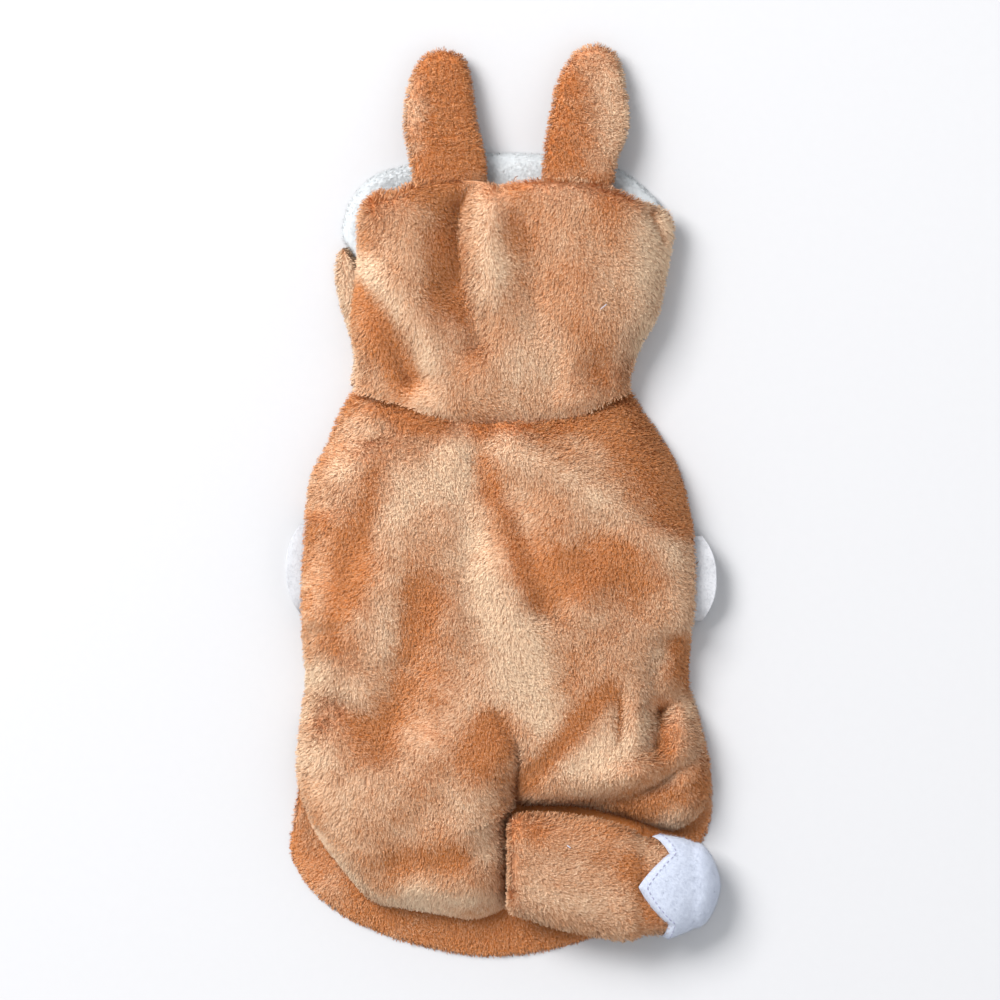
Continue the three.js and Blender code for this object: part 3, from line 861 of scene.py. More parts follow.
@dataclass
class BodyBack:
    """The back from neck seam to seat, with its centre-back dart between the two lobes."""

    cut: tuple[float, float] = (0.235, 0.262)
    columns: int = 48
    rows_per_row: int = 4
    neck_groove: float = 3.2
    sleeve_slope: tuple[float, float] = (1.5, 9.0)
    hem_begins: tuple[float, float] = (-100.0, -110.0)
    dart_opens: tuple[float, float] = (-98.0, -147.0)
    dart_roll: tuple[float, float] = (8.0, 30.0)
    left_side: Rows = (
        (-73, 52), (-79.7, 40.4), (-85.4, 26), (-93.1, 10), (-96, -15), (-97.7, -55.6),
        (-95.5, -86), (-97.4, -101), (-99.8, -125), (-98.4, -139.6), (-91.7, -157.8), (-80, -176),
    )
    right_side: Rows = (
        (62.4, 52), (69.1, 40.4), (78.7, 26), (86.4, 10), (91.7, -15), (93.1, -45),
        (89.8, -83), (93.6, -101), (99.6, -125), (99.8, -139.6), (97, -149), (91, -156.5),
    )
    left_rear: Rows = (
        (-80, -176), (-67.7, -190), (-60, -195.2), (-47, -197.2), (-23, -201), (-11, -202.2), (2.9, -197),
    )
    right_rear: Rows = (
        (4.3, -147.5), (17.8, -147.5), (37, -148), (56.2, -152), (73, -157), (84, -159.5), (91, -156.5),
    )
    centre_back: Rows = (
        (-5.3, 36.6), (-4, -20), (-3, -60), (-1.9, -95), (3, -106), (7.2, -118), (6.2, -131), (4.3, -147.5),
    )
    dart_seam: Rows = ((4.3, -147.5), (3, -157), (4.6, -168), (5.2, -178), (2.9, -197))
    neck_left: Rows = ((-73, 52), (-60.5, 49), (-43.7, 43.8), (-30.7, 39.5), (-19.7, 37.3), (-5.3, 36.6))
    neck_right: Rows = ((-5.3, 36.6), (4.8, 37), (22.6, 38.5), (33.6, 40.4), (44.6, 43.8), (62.4, 52))
    crown: Rows = (
        (52, 25), (36, 27), (15, 34), (-40, 36), (-100, 34), (-140, 37), (-170, 36), (-205, 32),
    )
    folds: Folds = Folds((
        (-75, 28, -60, 35, 9, 2.4),
        (-15, 20, -14, -60, 10, 2.4),
        (-10, 18, 8, -2, 9, 3.2),
        (8, -2, 22, -52, 9, 4),
        (52, -32, 66, -46, 19, 5.5),
        (30, -60, 56, -24, 9, -2),
        (56, -24, 86, -50, 9, -2.4),
        (-88, -107, -72, -109, 11, 2.8),
        (-70, -96, -90, -124, 7, -2.8),
        (-88, -84, -68, -86, 8, -1.6),
        (74, -104, 73, -120, 9, 6),
        (60, -95, 58, -118, 6, 2.4),
        (-40, -150, -62, -186, 10, 3),
        (-28, -60, -46, -150, 13, -2),
        (62, -149, 92, -136, 8, 6),
        (28, -151, 60, -147, 6, 5),
    ))
    creases: Folds = Folds((
        (-58, 18, -70, -44, 8, 2.6),
        (-40, -44, -56, -118, 9, 3),
        (-63, -81, -46, -78, 4, 1.2),
        (-71, -16, -78, -58, 8, 2.2),
        (20, -50, 32, -82, 7, 1.8),
        (4, 26, 34, 9, 7, -2),
        (34, 9, 80, -24, 7, -2),
        (80, -64, 71, -85, 6, 3.6),
        (71, -85, 73, -101, 6, 4.2),
        (75, -103, 73, -118, 6, 5),
        (94, -87, 76, -102, 6, 8),
        (73, -118, 78, -128, 6, 4),
        (84, -74, 85, -84, 6, -2.4),
        (87, -104, 92, -122, 5, -3.4),
        (65, -92, 63, -116, 6, -3),
        (56, -94, 56, -115, 2.2, 1.8),
        (-99, -95, -72, -99, 5, 0.8),
        (-86, 22, -60, 31, 4.5, 2.6),
        (-86, 13, -64, 23, 6, -1.8),
        (-49, -174, -11, -169, 7, 2.4),
        (-61, -186, -5, -187, 6, -1.6),
        (-40, -192, -11, -195, 3, 1.4),
        (-2, -103, 7, -120, 3.4, 2.4),
        (13, -124, 46, -97, 5, -1.2),
        (8, -137, 50, -92, 6, 2),
        (20, -139, 57, -133, 6, -3),
        (57, -133, 84, -122, 6, -4.4),
        (10, -148, 33, -147, 3.4, 5),
        (33, -147, 58, -141.5, 4.2, 8.5),
        (58, -141.5, 77, -134, 4.6, 10),
        (77, -134, 96, -120, 4.6, 8),
    ))
    # Many rows run along the folds and creases above: dark rows there are painted shade in troughs and on
    # slopes turned from the lamp, pale rows are painted highlight on ridges and in lit pockets; the other
    # rows are the nap's own lie.
    tone_and_shade: ToneAndShade = ToneAndShade((
        (-11, 35, 61, 46, 7, -0.55),
        (-69, 47, -30, 36, 7, -0.45),
        (70, 33, 86, -5, 14, -0.6),
        (44, 34, 76, 20, 9, -0.3),
        (-23, 21, -35, 9, 13, 0.4),
        (-74, 12, -80, -2, 8, 0.3),
        (-61, 19, -73, -44, 7, -0.35),
        (-75, -18, -79, -66, 8, -0.38),
        (56, -94, 56, -115, 1.8, -0.6),
        (-40, -44, -57, -120, 9, -0.45),
        (-49, 14, -56, -66, 7, 0.25),
        (-23, 19, 1, -92, 10, 0.4),
        (-10, 18, 18, -48, 7, -0.38),
        (3, 26, 34, 9, 8, 0.35),
        (34, 9, 80, -24, 7, 0.35),
        (27, -32, 60, -34, 14, -0.5),
        (54, -30, 62, -46, 9, -0.2),
        (84, -26, 87, -60, 7, 0.3),
        (6, -58, 18, -101, 12, 0.5),
        (34, -128, 66, -112, 9, 0.5),
        (66, -112, 71, -72, 5, 0.25),
        (84, -66, 86, -86, 6, -0.4),
        (-4, -108, -12, -122, 10, -0.55),
        (8, -137, 50, -90, 6, -0.55),
        (76, -100, 76, -120, 6, -0.5),
        (86, -100, 92, -122, 6, 0.15),
        (60, -149, 95, -136, 7, -0.4),
        (-86, -108, -72, -107, 8, -0.4),
        (-93, -103, -86, -104, 5, 0.35),
        (-88, -84, -74, -90, 8, 0.55),
        (-70, -98, -90, -122, 6, 0.28),
        (-50, -172, -24, -170, 8, -0.5),
        (-20, -144, -11, -166, 9, 0.3),
        (-88, -164, -61, -192, 6, 0.4),
        (-61, -192, -1, -190, 6, 0.4),
        (-93, -10, -95, -48, 8, -0.25),
        (-86, -130, -60, -130, 14, 0.2),
    ), seed=3)

    def __post_init__(self) -> None:
        """Make the plan curves."""
        self._left = PlanCurve(self.left_side)
        self._right = PlanCurve(self.right_side)
        self._centre = PlanCurve(self.centre_back)
        self._dart = PlanCurve(self.dart_seam)
        self._crown = Profile([r[0] for r in self.crown], [r[1] for r in self.crown])
        self._left_patch = Patch(
            lambda v: self._left.at(crowd_end(v)),
            lambda v: self.centre_at(v * ALL_ROWS),
            PlanCurve(self.neck_left).at,
            PlanCurve(self.left_rear).at,
        )
        self._right_patch = Patch(
            lambda v: self.centre_at(v * BACK_ROWS),
            lambda v: self._right.at(crowd_end(v)),
            PlanCurve(self.neck_right).at,
            PlanCurve(self.right_rear).at,
        )

    def centre_at(self, row: Array) -> Array:
        """Give the line between the lobes: the centre back, then the dart seam.

        Args:
            row: row numbers from the neck seam.

        Returns:
            The x and y at each row.
        """
        above = self._centre.at(crowd_end(np.minimum(row / BACK_ROWS, 1)))
        beside = self._dart.at(crowd_end(np.clip((row - BACK_ROWS) / LEFT_LOBE_ROWS, 0, 1)))
        return np.where((row <= BACK_ROWS)[..., None], above, beside)

    def edge_height(self, x: Array, y: Array) -> Array:
        """Give the height of the lower edge: on the floor, over the sleeves, on the hem layer.

        Args:
            x: places across.
            y: places along.

        Returns:
            The height in millimetres.
        """
        right = x > 0
        middle = np.where(right, SLEEVE_RIGHT.y, SLEEVE_LEFT.y)
        width = np.where(right, SLEEVE_RIGHT.width, SLEEVE_LEFT.width)
        away = np.abs(y - middle) - width / 2
        over_sleeve = (SLEEVE_HEIGHT + 2 * SEAM_GAP) * (1 - smoothstep(*self.sleeve_slope, away))
        over_hem = (HEM_THICKNESS + SEAM_GAP) * smoothstep(*self.hem_begins, y)
        return np.maximum(over_sleeve, over_hem)

    def height(self, p: Array, side: Array, rear: Array, dart: Array, front: Array) -> Array:
        """Give the cloth's height at plan places.

        Args:
            p: the places.
            side: their distance from the side edge.
            rear: their distance from the rear edge.
            dart: their distance from the dart.
            front: their distance from the neck seam.

        Returns:
            The height in millimetres.
        """
        x, y = p[..., 0], p[..., 1]
        edge = self.edge_height(x, y)
        opening = smoothstep(*self.dart_opens, y)
        pinch = 1 - opening * (1 - roll(dart + 2.0 * (1 - opening), mix(*self.dart_roll, opening)))
        share = roll(side, SIDE_ROLL) * roll(rear, REAR_ROLL) * pinch
        full = self._crown.at(y) - self.folds.depth(x, y) - self.creases.depth(x, y)
        full = full - self.neck_groove * np.exp(-((front / NECK_GROOVE_WIDTH) ** 2))
        return mix(edge, full, share)

    def skin(self, inset: float) -> Surface:
        """Make the cloth's side that lies an inset inside the solids' surface.

        Args:
            inset: how far inside it lies, in millimetres.

        Returns:
            The side.
        """
        rows = self.rows_per_row
        total, upper = ALL_ROWS * rows, BACK_ROWS * rows
        columns = self.columns
        share = crowd_both(np.arange(columns + 1) / columns)
        row, u = np.meshgrid(np.arange(total + 1) / rows, share, indexing="ij")
        left = self._half(self._left_patch, self._left, row, u, row / ALL_ROWS, inset, False)
        row, u = np.meshgrid(np.arange(upper + 1) / rows, share, indexing="ij")
        right = self._half(self._right_patch, self._right, row, u, row / BACK_ROWS, inset, True)[:, 1:]
        across = columns + 1
        faces = grid_faces(across, total + 1)
        number = np.arange(right.shape[0] * columns).reshape(-1, columns) + left.shape[0] * across
        seam = (np.arange(right.shape[0]) * across + columns)[:, None]
        both = np.concatenate([seam, number], axis=1)
        quads = np.stack([both[:-1, :-1], both[:-1, 1:], both[1:, 1:], both[1:, :-1]], -1).reshape(-1, 4)
        points = np.concatenate([left.reshape(-1, 3), right.reshape(-1, 3)])
        return Surface(points, np.concatenate([faces, quads])[:, ::-1])

    def _half(
        self,
        patch: Patch,
        side_curve: PlanCurve,
        row: Array,
        u: Array,
        v: Array,
        inset: float,
        is_right: bool,
    ) -> Array:
        """Make one half of a side of the cloth.

        Args:
            patch: the half's plan.
            side_curve: its outer edge.
            row: the row number of each point.
            u: the share across.
            v: the share along.
            inset: how far inside the solids' surface it lies.
            is_right: whether it is the half right of the centre back.

        Returns:
            The points, as rows of a grid.
        """
        p = patch.at(u, v)
        side = np.linalg.norm(p - side_curve.at(crowd_end(v)), axis=-1)
        rear = np.linalg.norm(p - patch.at(u, np.ones_like(v)), axis=-1)
        front = np.linalg.norm(p - patch.at(u, np.zeros_like(v)), axis=-1)
        dart = np.abs(p[..., 0] - self.centre_at(row)[..., 0])
        if is_right:
            shift = -inset * u
            edge_here = (u == u[0, -1]) | (row >= BACK_ROWS)
        else:
            on_dart = row >= BACK_ROWS
            shift = inset * (1 - u) - np.where(on_dart, inset * u, 0)
            edge_here = (u == u[0, 0]) | (row >= ALL_ROWS) | (on_dart & (u == u[0, -1]))
        q = np.stack([p[..., 0] + shift, p[..., 1] + inset * v**6], -1)
        edge = self.edge_height(q[..., 0], q[..., 1])
        height = np.maximum(self.height(q, side, rear, dart, front) - inset, edge + LEAST_RISE)
        return np.concatenate([q, np.where(edge_here, edge, height)[..., None]], -1)

    def build(self, finishes: Finishes) -> None:
        """Make the cloth and its pile.

        Args:
            finishes: the costume's materials.
        """
        outer = self.skin(PILE_DEPTH)
        inner = self.skin(PLUSH_WALL)
        tone = self.tone_and_shade.at(outer.points)
        cloth = cloth_piece(
            "back_cloth", outer, inner.points, [finishes.plush, finishes.backing], tone
        )
        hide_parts("back_panel")
        Pile().grow("back_pile", outer, self.tone_and_shade, finishes.plush, Slot.PLUSH, seed=11)


@dataclass
class HoodBack:
    """The hood's upper cloth, from the neck seam to the fold above the ears."""

    cut: tuple[float, float] = (0.175, 0.125)
    columns: int = 84
    rows: int = 66
    neck_groove: float = 3.0
    fold_slope: tuple[float, float] = (2.0, 22.0)
    side_slope: tuple[float, float] = (5.0, 17.0)
    over_ears: float = TRIM_THICKNESS + EAR_THICKNESS + 1.3
    left_edge: Rows = (
        (-73, 52.3), (-70.6, 58), (-71.5, 69), (-73.4, 79), (-73.4, 91), (-70.6, 115),
        (-71, 134), (-68.5, 144),
    )
    right_edge: Rows = (
        (62.4, 52.3), (61.9, 58), (64.8, 69), (69.6, 79), (75.8, 91), (80.6, 115), (83, 130), (80.5, 140),
    )
    top_fold: Rows = (
        (-68.5, 144), (-62.4, 149), (-54.7, 148.6), (-46, 152.6), (-33.6, 154.7), (-15.4, 155.2),
        (-6.7, 153.7), (-2.4, 150.8), (3.4, 152.8), (15.8, 154.7), (40.3, 154.4), (56.6, 149.4),
        (68.6, 144.2), (80.5, 140),
    )
    crown: Rows = ((36, 26), (52, 29), (75, 33), (110, 35), (140, 34), (156, 33))
    folds: Folds = Folds((
        (-12, 152, -21, 140, 8, 4.5),
        (-24, 138, -25, 102, 12, 6.5),
        (-24, 102, -14, 76, 10, 4),
        (-66, 103, -58, 88, 8, 4.5),
        (-58, 88, -42, 58, 9, 5),
        (-66, 113, -53, 98, 8, -2.4),
        (-53, 98, -34, 66, 8, -3),
        (11, 136, 17, 86, 11, 3.6),
        (46, 63, 50, 58, 9, 4),
        (70, 135, 77, 122, 7, 2.5),
    ))
    creases: Folds = Folds((
        (-12, 152, -19.5, 141, 4.5, 3.4),
        (-19.5, 141, -20.5, 124, 5, 6),
        (-20.5, 124, -19, 106, 5, 6),
        (-19, 106, -11, 76, 5, 4),
        (-9, 142, -8, 100, 8, -3.2),
        (-45, 146, -46, 112, 7, -1.6),
        (-66, 103, -42, 58, 5, 3.2),
        (12, 134, 17, 88, 5, 1.2),
        (69.6, 136.8, 75.8, 125, 2.6, 6),
        (40, 130, 56, 96, 6, 1.2),
        (28, 80, 24, 56, 5, 1.2),
    ))
    # Many rows run along the folds and creases above: dark rows there are painted shade in troughs and on
    # slopes turned from the lamp, pale rows are painted highlight on ridges; the other rows are the nap's own
    # lie.
    tone_and_shade: ToneAndShade = ToneAndShade((
        (-26, 148, -27, 100, 10, -0.5),
        (-24, 100, -12, 74, 8, -0.35),
        (-66, 113, -53, 98, 6, 0.42),
        (-53, 98, -34, 66, 6, 0.36),
        (-66, 98, -45, 58, 8, -0.5),
        (-6, 140, -6, 100, 7, 0.3),
        (4, 134, 8, 108, 7, -0.3),
        (73, 132, 66, 76, 9, 0.55),
        (-66, 144, -35, 148, 6, -0.35),
        (24, 124, 50, 138, 12, -0.12),
        (44, 72, 48, 60, 9, -0.25),
        (-6, 72, 20, 60, 12, 0.12),
        (69.6, 136.8, 75.8, 125, 2.4, -0.6),
        (0, 112, 10, 92, 12, 0.15),
    ), seed=23, base=0.43)

    def skin(self, inset: float) -> Surface:
        """Make the cloth's side that lies an inset inside the solids' surface.

        Args:
            inset: how far inside it lies, in millimetres.

        Returns:
            The side.
        """
        left, right = PlanCurve(self.left_edge), PlanCurve(self.right_edge)
        body = BodyBack()
        neck = body.neck_left + body.neck_right[1:]
        seam = PlanCurve(tuple((x, y + SEAM_GAP) for x, y in neck))
        patch = Patch(
            lambda v: left.at(crowd_end(v)),
            lambda v: right.at(crowd_end(v)),
            seam.at,
            PlanCurve(self.top_fold).at,
        )
        crown = Profile([r[0] for r in self.crown], [r[1] for r in self.crown])
        j, i = np.meshgrid(np.arange(self.rows + 1), np.arange(self.columns + 1), indexing="ij")
        u, v = crowd_both(i / self.columns), j / self.rows
        p = patch.at(u, v)
        to_left = np.linalg.norm(p - left.at(crowd_end(v)), axis=-1)
        to_right = np.linalg.norm(p - right.at(crowd_end(v)), axis=-1)
        to_fold = np.linalg.norm(p - patch.at(u, np.ones_like(v)), axis=-1)
        to_neck = np.linalg.norm(p - patch.at(u, np.zeros_like(v)), axis=-1)
        x = p[..., 0] + inset * (1 - 2 * u)
        y = p[..., 1] - inset * v**6
        at_top = 1 - smoothstep(*self.fold_slope, to_fold)
        over_front = HOOD_FRONT_THICKNESS + SEAM_GAP
        at_top = at_top * smoothstep(*self.side_slope, np.minimum(to_left, to_right))
        edge = mix(over_front, self.over_ears, at_top)
        share = roll(to_left, HOOD_SIDE_ROLL) * roll(to_right, HOOD_SIDE_ROLL) * roll(to_fold, TOP_FOLD_ROLL)
        full = crown.at(y) - self.folds.depth(x, y) - self.creases.depth(x, y)
        full = full - self.neck_groove * np.exp(-((to_neck / NECK_GROOVE_WIDTH) ** 2))
        height = np.maximum(mix(edge, full, share) - inset, edge + LEAST_RISE)
        is_edge = (i == 0) | (i == self.columns) | (j == self.rows)
        z = np.where(is_edge, edge, height)
        points = np.stack([x, y, z], -1).reshape(-1, 3)
        return Surface(points, grid_faces(self.columns + 1, self.rows + 1))

    def build(self, finishes: Finishes) -> None:
        """Make the cloth and its pile.

        Args:
            finishes: the costume's materials.
        """
        outer = self.skin(PILE_DEPTH)
        inner = self.skin(PLUSH_WALL)
        tone = self.tone_and_shade.at(outer.points)
        cloth = cloth_piece(
            "hood_cloth", outer, inner.points, [finishes.plush, finishes.backing], tone
        )
        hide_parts("hood_back")
        Pile().grow("hood_pile", outer, self.tone_and_shade, finishes.plush, Slot.PLUSH, seed=31)


def oval(
    turn: Array, half_width: Array | float, half_height: Array | float, power: float = 0.82
) -> tuple[Array, Array]:
    """Give the across and up of a rounded flat section: a turn of 0 is its left end, 0.25 its top.

    Args:
        turn: places round the section, from 0 to 1.
        half_width: half the section's width.
        half_height: half its height.
        power: how round it is, 1 being an ellipse.

    Returns:
        How far across and how far up each place is.
    """
    angle = np.pi * (1 - 2 * turn)
    across, up = (np.sign(part) * np.abs(part) ** power for part in (np.cos(angle), np.sin(angle)))
    return half_width * across, half_height * up


def ring_surface(rings: Array, closed: bool = False) -> Surface:
    """Join rings of points into a surface that faces away from their middles.

    Args:
        rings: points in millimetres, as rings by places around by three.
        closed: whether the last ring joins the first.

    Returns:
        The surface.
    """
    count, around = rings.shape[:2]
    surface = Surface(rings.reshape(-1, 3), grid_faces(around, count, wrap=True, closed=closed))
    corners = (surface.points - surface.points.mean(axis=0))[surface.faces]
    across = np.cross(corners[:, 2] - corners[:, 0], corners[:, 3] - corners[:, 1])
    if (across * corners.mean(axis=1)).sum() < 0:
        surface.faces = surface.faces[:, ::-1]
    return surface


def shut(rings: Array) -> Array:
    """Close a row of rings with a small ring and a point at each end.

    Args:
        rings: points, as rings by places around by three.

    Returns:
        The rings with their ends closed.
    """
    first, last = rings[:1].mean(axis=1, keepdims=True), rings[-1:].mean(axis=1, keepdims=True)
    start = [mix(np.broadcast_to(first, rings[:1].shape), rings[:1], s) for s in (0.0, 0.5)]
    end = [mix(np.broadcast_to(last, rings[:1].shape), rings[-1:], s) for s in (0.5, 0.0)]
    return np.concatenate(start + [rings] + end)


def solid_piece(
    name: str, surface: Surface, finish: bpy.types.Material, tone: Array | None = None
) -> bpy.types.Object:
    """Make a piece from one closed surface.

    Args:
        name: the piece's name.
        surface: the closed surface.
        finish: its material.
        tone: how pale the plush is coloured at each point, painted shade and highlight of the folds included.

    Returns:
        The piece.
    """
    faces = surface.faces
    mesh = fill_mesh(name, surface.points, faces.ravel(), np.full(len(faces), 4))
    add_values(mesh, "tone", np.full(len(surface.points), 0.5) if tone is None else tone)
    mesh.materials.append(finish)
    return link_piece(name, mesh)


@dataclass(frozen=True)
class Ear:
    """A flat stuffed ear, two leaves sewn round the edge and turned."""

    name: str
    sections: Rows
    tip: float
    tone_and_shade: ToneAndShade
    seed: int
    around: int = 56
    along: int = 60
    seam_depth: float = 0.9
    seam_width: float = 0.02
    tip_round: float = 4.0
    sway: float = 0.5
    pile_depth: float = 1.7

    def rings(self, inset: float) -> Array:
        """Give the ear's rings, an inset inside the solids' surface, from its root to its tip.

        Args:
            inset: how far inside they lie, in millimetres.

        Returns:
            The rings.
        """
        keys = [r[0] for r in self.sections]
        x, width, middle = (Profile(keys, [r[k] for r in self.sections]) for k in (1, 2, 3))
        y = mix(keys[0], self.tip - inset, np.sin(np.linspace(0, np.pi / 2, self.along)))[:, None]
        turn = (np.arange(self.around) / self.around)[None, :]
        close = np.sqrt(np.clip((self.tip - inset - y) / self.tip_round, 0, 1))
        half = np.maximum(width.at(y) / 2 - inset, 0) * close
        thick = np.clip(width.at(y) / 27, 0.3, 1) ** 0.6 * EAR_THICKNESS / 2 - inset
        across, up = oval(turn, half, np.maximum(thick * close, 0))
        to_seam = np.minimum(turn, np.abs(turn - 0.5))
        groove = self.seam_depth * np.exp(-((to_seam / self.seam_width) ** 2))
        across = across - np.sign(across) * groove * (half > 2)
        ring = np.stack([x.at(y) + across, np.broadcast_to(y, across.shape), middle.at(y) + up], -1)
        sway = waves(ring.reshape(-1, 3), 30, self.seed, 5).reshape(across.shape) * self.sway
        ring[..., 2] += sway * (up > 0)
        return ring

    def build(self, finishes: Finishes) -> None:
        """Make the ear and its pile.

        Args:
            finishes: the costume's materials.
        """
        surface = ring_surface(shut(self.rings(self.pile_depth)))
        tone = self.tone_and_shade.at(surface.points)
        ear = solid_piece(self.name + "_leaf", surface, finishes.plush, tone)
        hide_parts(self.name)
        pile = Pile(length=3.0, lean=0.52, spread=0.34, clump=3.4, pull=0.5, brush=(0.15, -1.0))
        pile.grow(self.name + "_pile", surface, self.tone_and_shade, finishes.plush, Slot.PLUSH, self.seed)


EARS = (
    Ear(
        "ear_left",
        sections=(
            (150.8, -25.4, 34.6, 15), (163, -26.6, 36.6, 15.2), (170, -28.2, 36.4, 14.8),
            (177, -29.6, 36.2, 13.6), (184, -30.3, 35, 12.4), (191.6, -30.5, 33.1, 11),
            (199, -30.2, 30.6, 9.6), (205, -29.6, 27, 8.6), (210, -29, 22.8, 7.8),
            (214, -28.8, 17, 7.2), (216.4, -29.4, 9.5, 6.8),
        ),
        tip=217.2,
        tone_and_shade=ToneAndShade(((-30, 205, -22, 165, 12, -0.25), (-44, 200, -42, 170, 6, 0.25)), seed=41, base=0.16),
        seed=43,
    ),
    Ear(
        "ear_right",
        sections=(
            (150.8, 35.8, 34.4, 15), (163, 37, 35.6, 15.2), (170, 38.6, 37.6, 14.8),
            (177, 40.6, 38.8, 13.6), (184, 41.5, 38, 12.4), (191.6, 42, 36, 11),
            (199, 42.2, 33.2, 9.8), (206, 43, 28.8, 8.6), (211.5, 43.6, 23.6, 7.8),
            (216, 44.4, 16.4, 7.2), (218.6, 44.9, 9, 6.8),
        ),
        tip=219.5,
        tone_and_shade=ToneAndShade(((30, 200, 26, 165, 9, -0.25), (53, 205, 50, 170, 9, 0.35)), seed=45, base=0.3),
        seed=47,
    ),
)


@dataclass
class Tail:
    """The stuffed tail and the white felt patch over its end."""

    sections: Rows = (
        (4.3, -151, -199.5, 26), (8.5, -150, -200.8, 27.5), (13, -149.6, -202, 28),
        (27.4, -150, -206.6, 29), (46.6, -153, -210.6, 29), (60, -157, -212.3, 28),
        (65.8, -160.8, -210.2, 24.5), (79.2, -163.4, -208.6, 23.5), (86, -164.6, -206.4, 22),
        (92, -166.8, -203.6, 19.5),
    )
    teeth: Rows = (
        (0, 71.5), (0.13, 79.7), (0.25, 64.8), (0.38, 79.2), (0.5, 76), (0.63, 79.2), (0.75, 64.8),
        (0.88, 79.7), (1, 71.5),
    )
    felt_cut: tuple[float, float] = (0.13, 0.042)
    girth: float = 118.0
    tail_end: float = 102.0
    patch_end: float = 104.4
    floor: float = 3.9
    around: int = 96
    along: int = 90
    patch_around: int = 240
    stitch_inset: float = 3.0
    stitch_length: float = 1.9
    stitch_gap: float = 0.8
    tone_and_shade: ToneAndShade = ToneAndShade((
        (10, -158, 50, -168, 8, -0.08),
        (60, -176, 72, -196, 8, -0.35),
        (12, -190, 50, -192, 10, 0.25),
        (60, -164, 74, -170, 5, 0.2),
    ), seed=53, base=0.34, uneven=0.1)

    def __post_init__(self) -> None:
        """Make the profiles along the tail."""
        keys = [r[0] for r in self.sections]
        self._top, self._bottom, self._height = (
            Profile(keys, [r[k] for r in self.sections]) for k in (1, 2, 3)
        )

    def place(self, x: Array, turn: Array, grow: Array | float, end: float | None = None) -> Array:
        """Give points on the tail's surface, moved out by an amount.

        Args:
            x: places along the tail.
            turn: places round it, 0 being its upper side edge in plan and 0.25 its crown.
            grow: how far the point is moved out, in millimetres.
            end: where the surface closes, or the patch's end if none is given.

        Returns:
            The points.
        """
        top, bottom, height = self._top.at(x), self._bottom.at(x), self._height.at(x)
        last = self.sections[-1][0]
        beyond = np.clip((x - last) / ((end or self.patch_end) - last), 0, 1)
        close = (1 - beyond**2) ** 0.7
        half_width = np.maximum((top - bottom) / 2 + grow, 0) * close
        across, up = oval(turn, half_width, np.maximum(height / 2 + grow, 0) * close, 0.9)
        z = np.maximum(self.floor + height / 2 + 2 + up, self.floor - np.maximum(grow, 0))
        return np.stack([x + np.zeros_like(across), (top + bottom) / 2 - across, z], -1)

    def build_tail(self, finishes: Finishes) -> None:
        """Make the tail and its pile.

        Args:
            finishes: the costume's materials.
        """
        share = np.sin(np.linspace(0, np.pi / 2, self.along)) ** 0.9
        x = mix(self.sections[0][0], self.tail_end - PILE_DEPTH, share)[:, None]
        rings = self.place(x, (np.arange(self.around) / self.around)[None, :], -PILE_DEPTH)
        flat = rings.reshape(-1, 3)
        lumps = waves(flat, 38, 54, 6).reshape(rings.shape[:2]) * 0.9
        rings[..., 2] += lumps * (rings[..., 2] > self.floor + 8)
        surface = ring_surface(shut(rings))
        tone = self.tone_and_shade.at(surface.points)
        tail = solid_piece("tail_cloth", surface, finishes.plush, tone)
        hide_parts("tail")
        keep = 1 - smoothstep(82, 88, surface.points[:, 0])
        pile = Pile(brush=(1.0, -0.25), per_mm2=6.6)
        pile.grow("tail_pile", surface, self.tone_and_shade, finishes.plush, Slot.PLUSH, 57, keep)

    def edge_at(self, turn: Array, away: float) -> Array:
        """Give where a line parallel to the felt's zigzag edge stands along the tail.

        Args:
            turn: places round the tail.
            away: how far inside the edge the line runs, in millimetres.

        Returns:
            The places along the tail.
        """
        teeth = np.array(self.teeth)
        steps = np.linspace(-0.06, 0.06, 81)
        near = np.interp((turn[:, None] + steps) % 1.0, teeth[:, 0], teeth[:, 1])
        reach = np.sqrt(np.maximum(away**2 - (steps * self.girth) ** 2, 0))
        inside = np.abs(steps) * self.girth <= max(away, 1e-6)
        return np.where(inside, near + reach, -np.inf).max(axis=1)

    def build_patch(self, finishes: Finishes) -> None:
        """Make the felt patch with a soft cut edge.

        Args:
            finishes: the costume's materials.
        """
        turn = np.arange(self.patch_around) / self.patch_around
        start = self.edge_at(turn, 0.0)
        share = np.linspace(0, 1, 22)[:, None]
        run = np.sin(share * np.pi / 2) ** 0.85
        x = mix(start[None, :], self.patch_end, run)
        x_inside = mix(start[None, :], self.patch_end - FELT_WALL, run)
        over = FELT_WALL * smoothstep(0.0, 1.2, x - start[None, :]) ** 0.5
        ripple = waves(self.place(x, turn[None, :], 2.0).reshape(-1, 3), 9, 61, 6).reshape(x.shape) * 0.12
        outer = self.place(x, turn[None, :], 0.5 + over + ripple)
        inner = self.place(x_inside, turn[None, :], np.full_like(x, 0.35), self.patch_end - FELT_WALL)
        surface = ring_surface(outer)
        felt = cloth_piece("tail_felt", surface, inner.reshape(-1, 3), [finishes.felt])
        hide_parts("tail_tip")
        keep = smoothstep(0, 1, surface.points[:, 0])
        FELT_FUZZ.grow("tail_felt_fuzz", surface, ToneAndShade((), 62), finishes.felt, Slot.FELT, 63, keep)

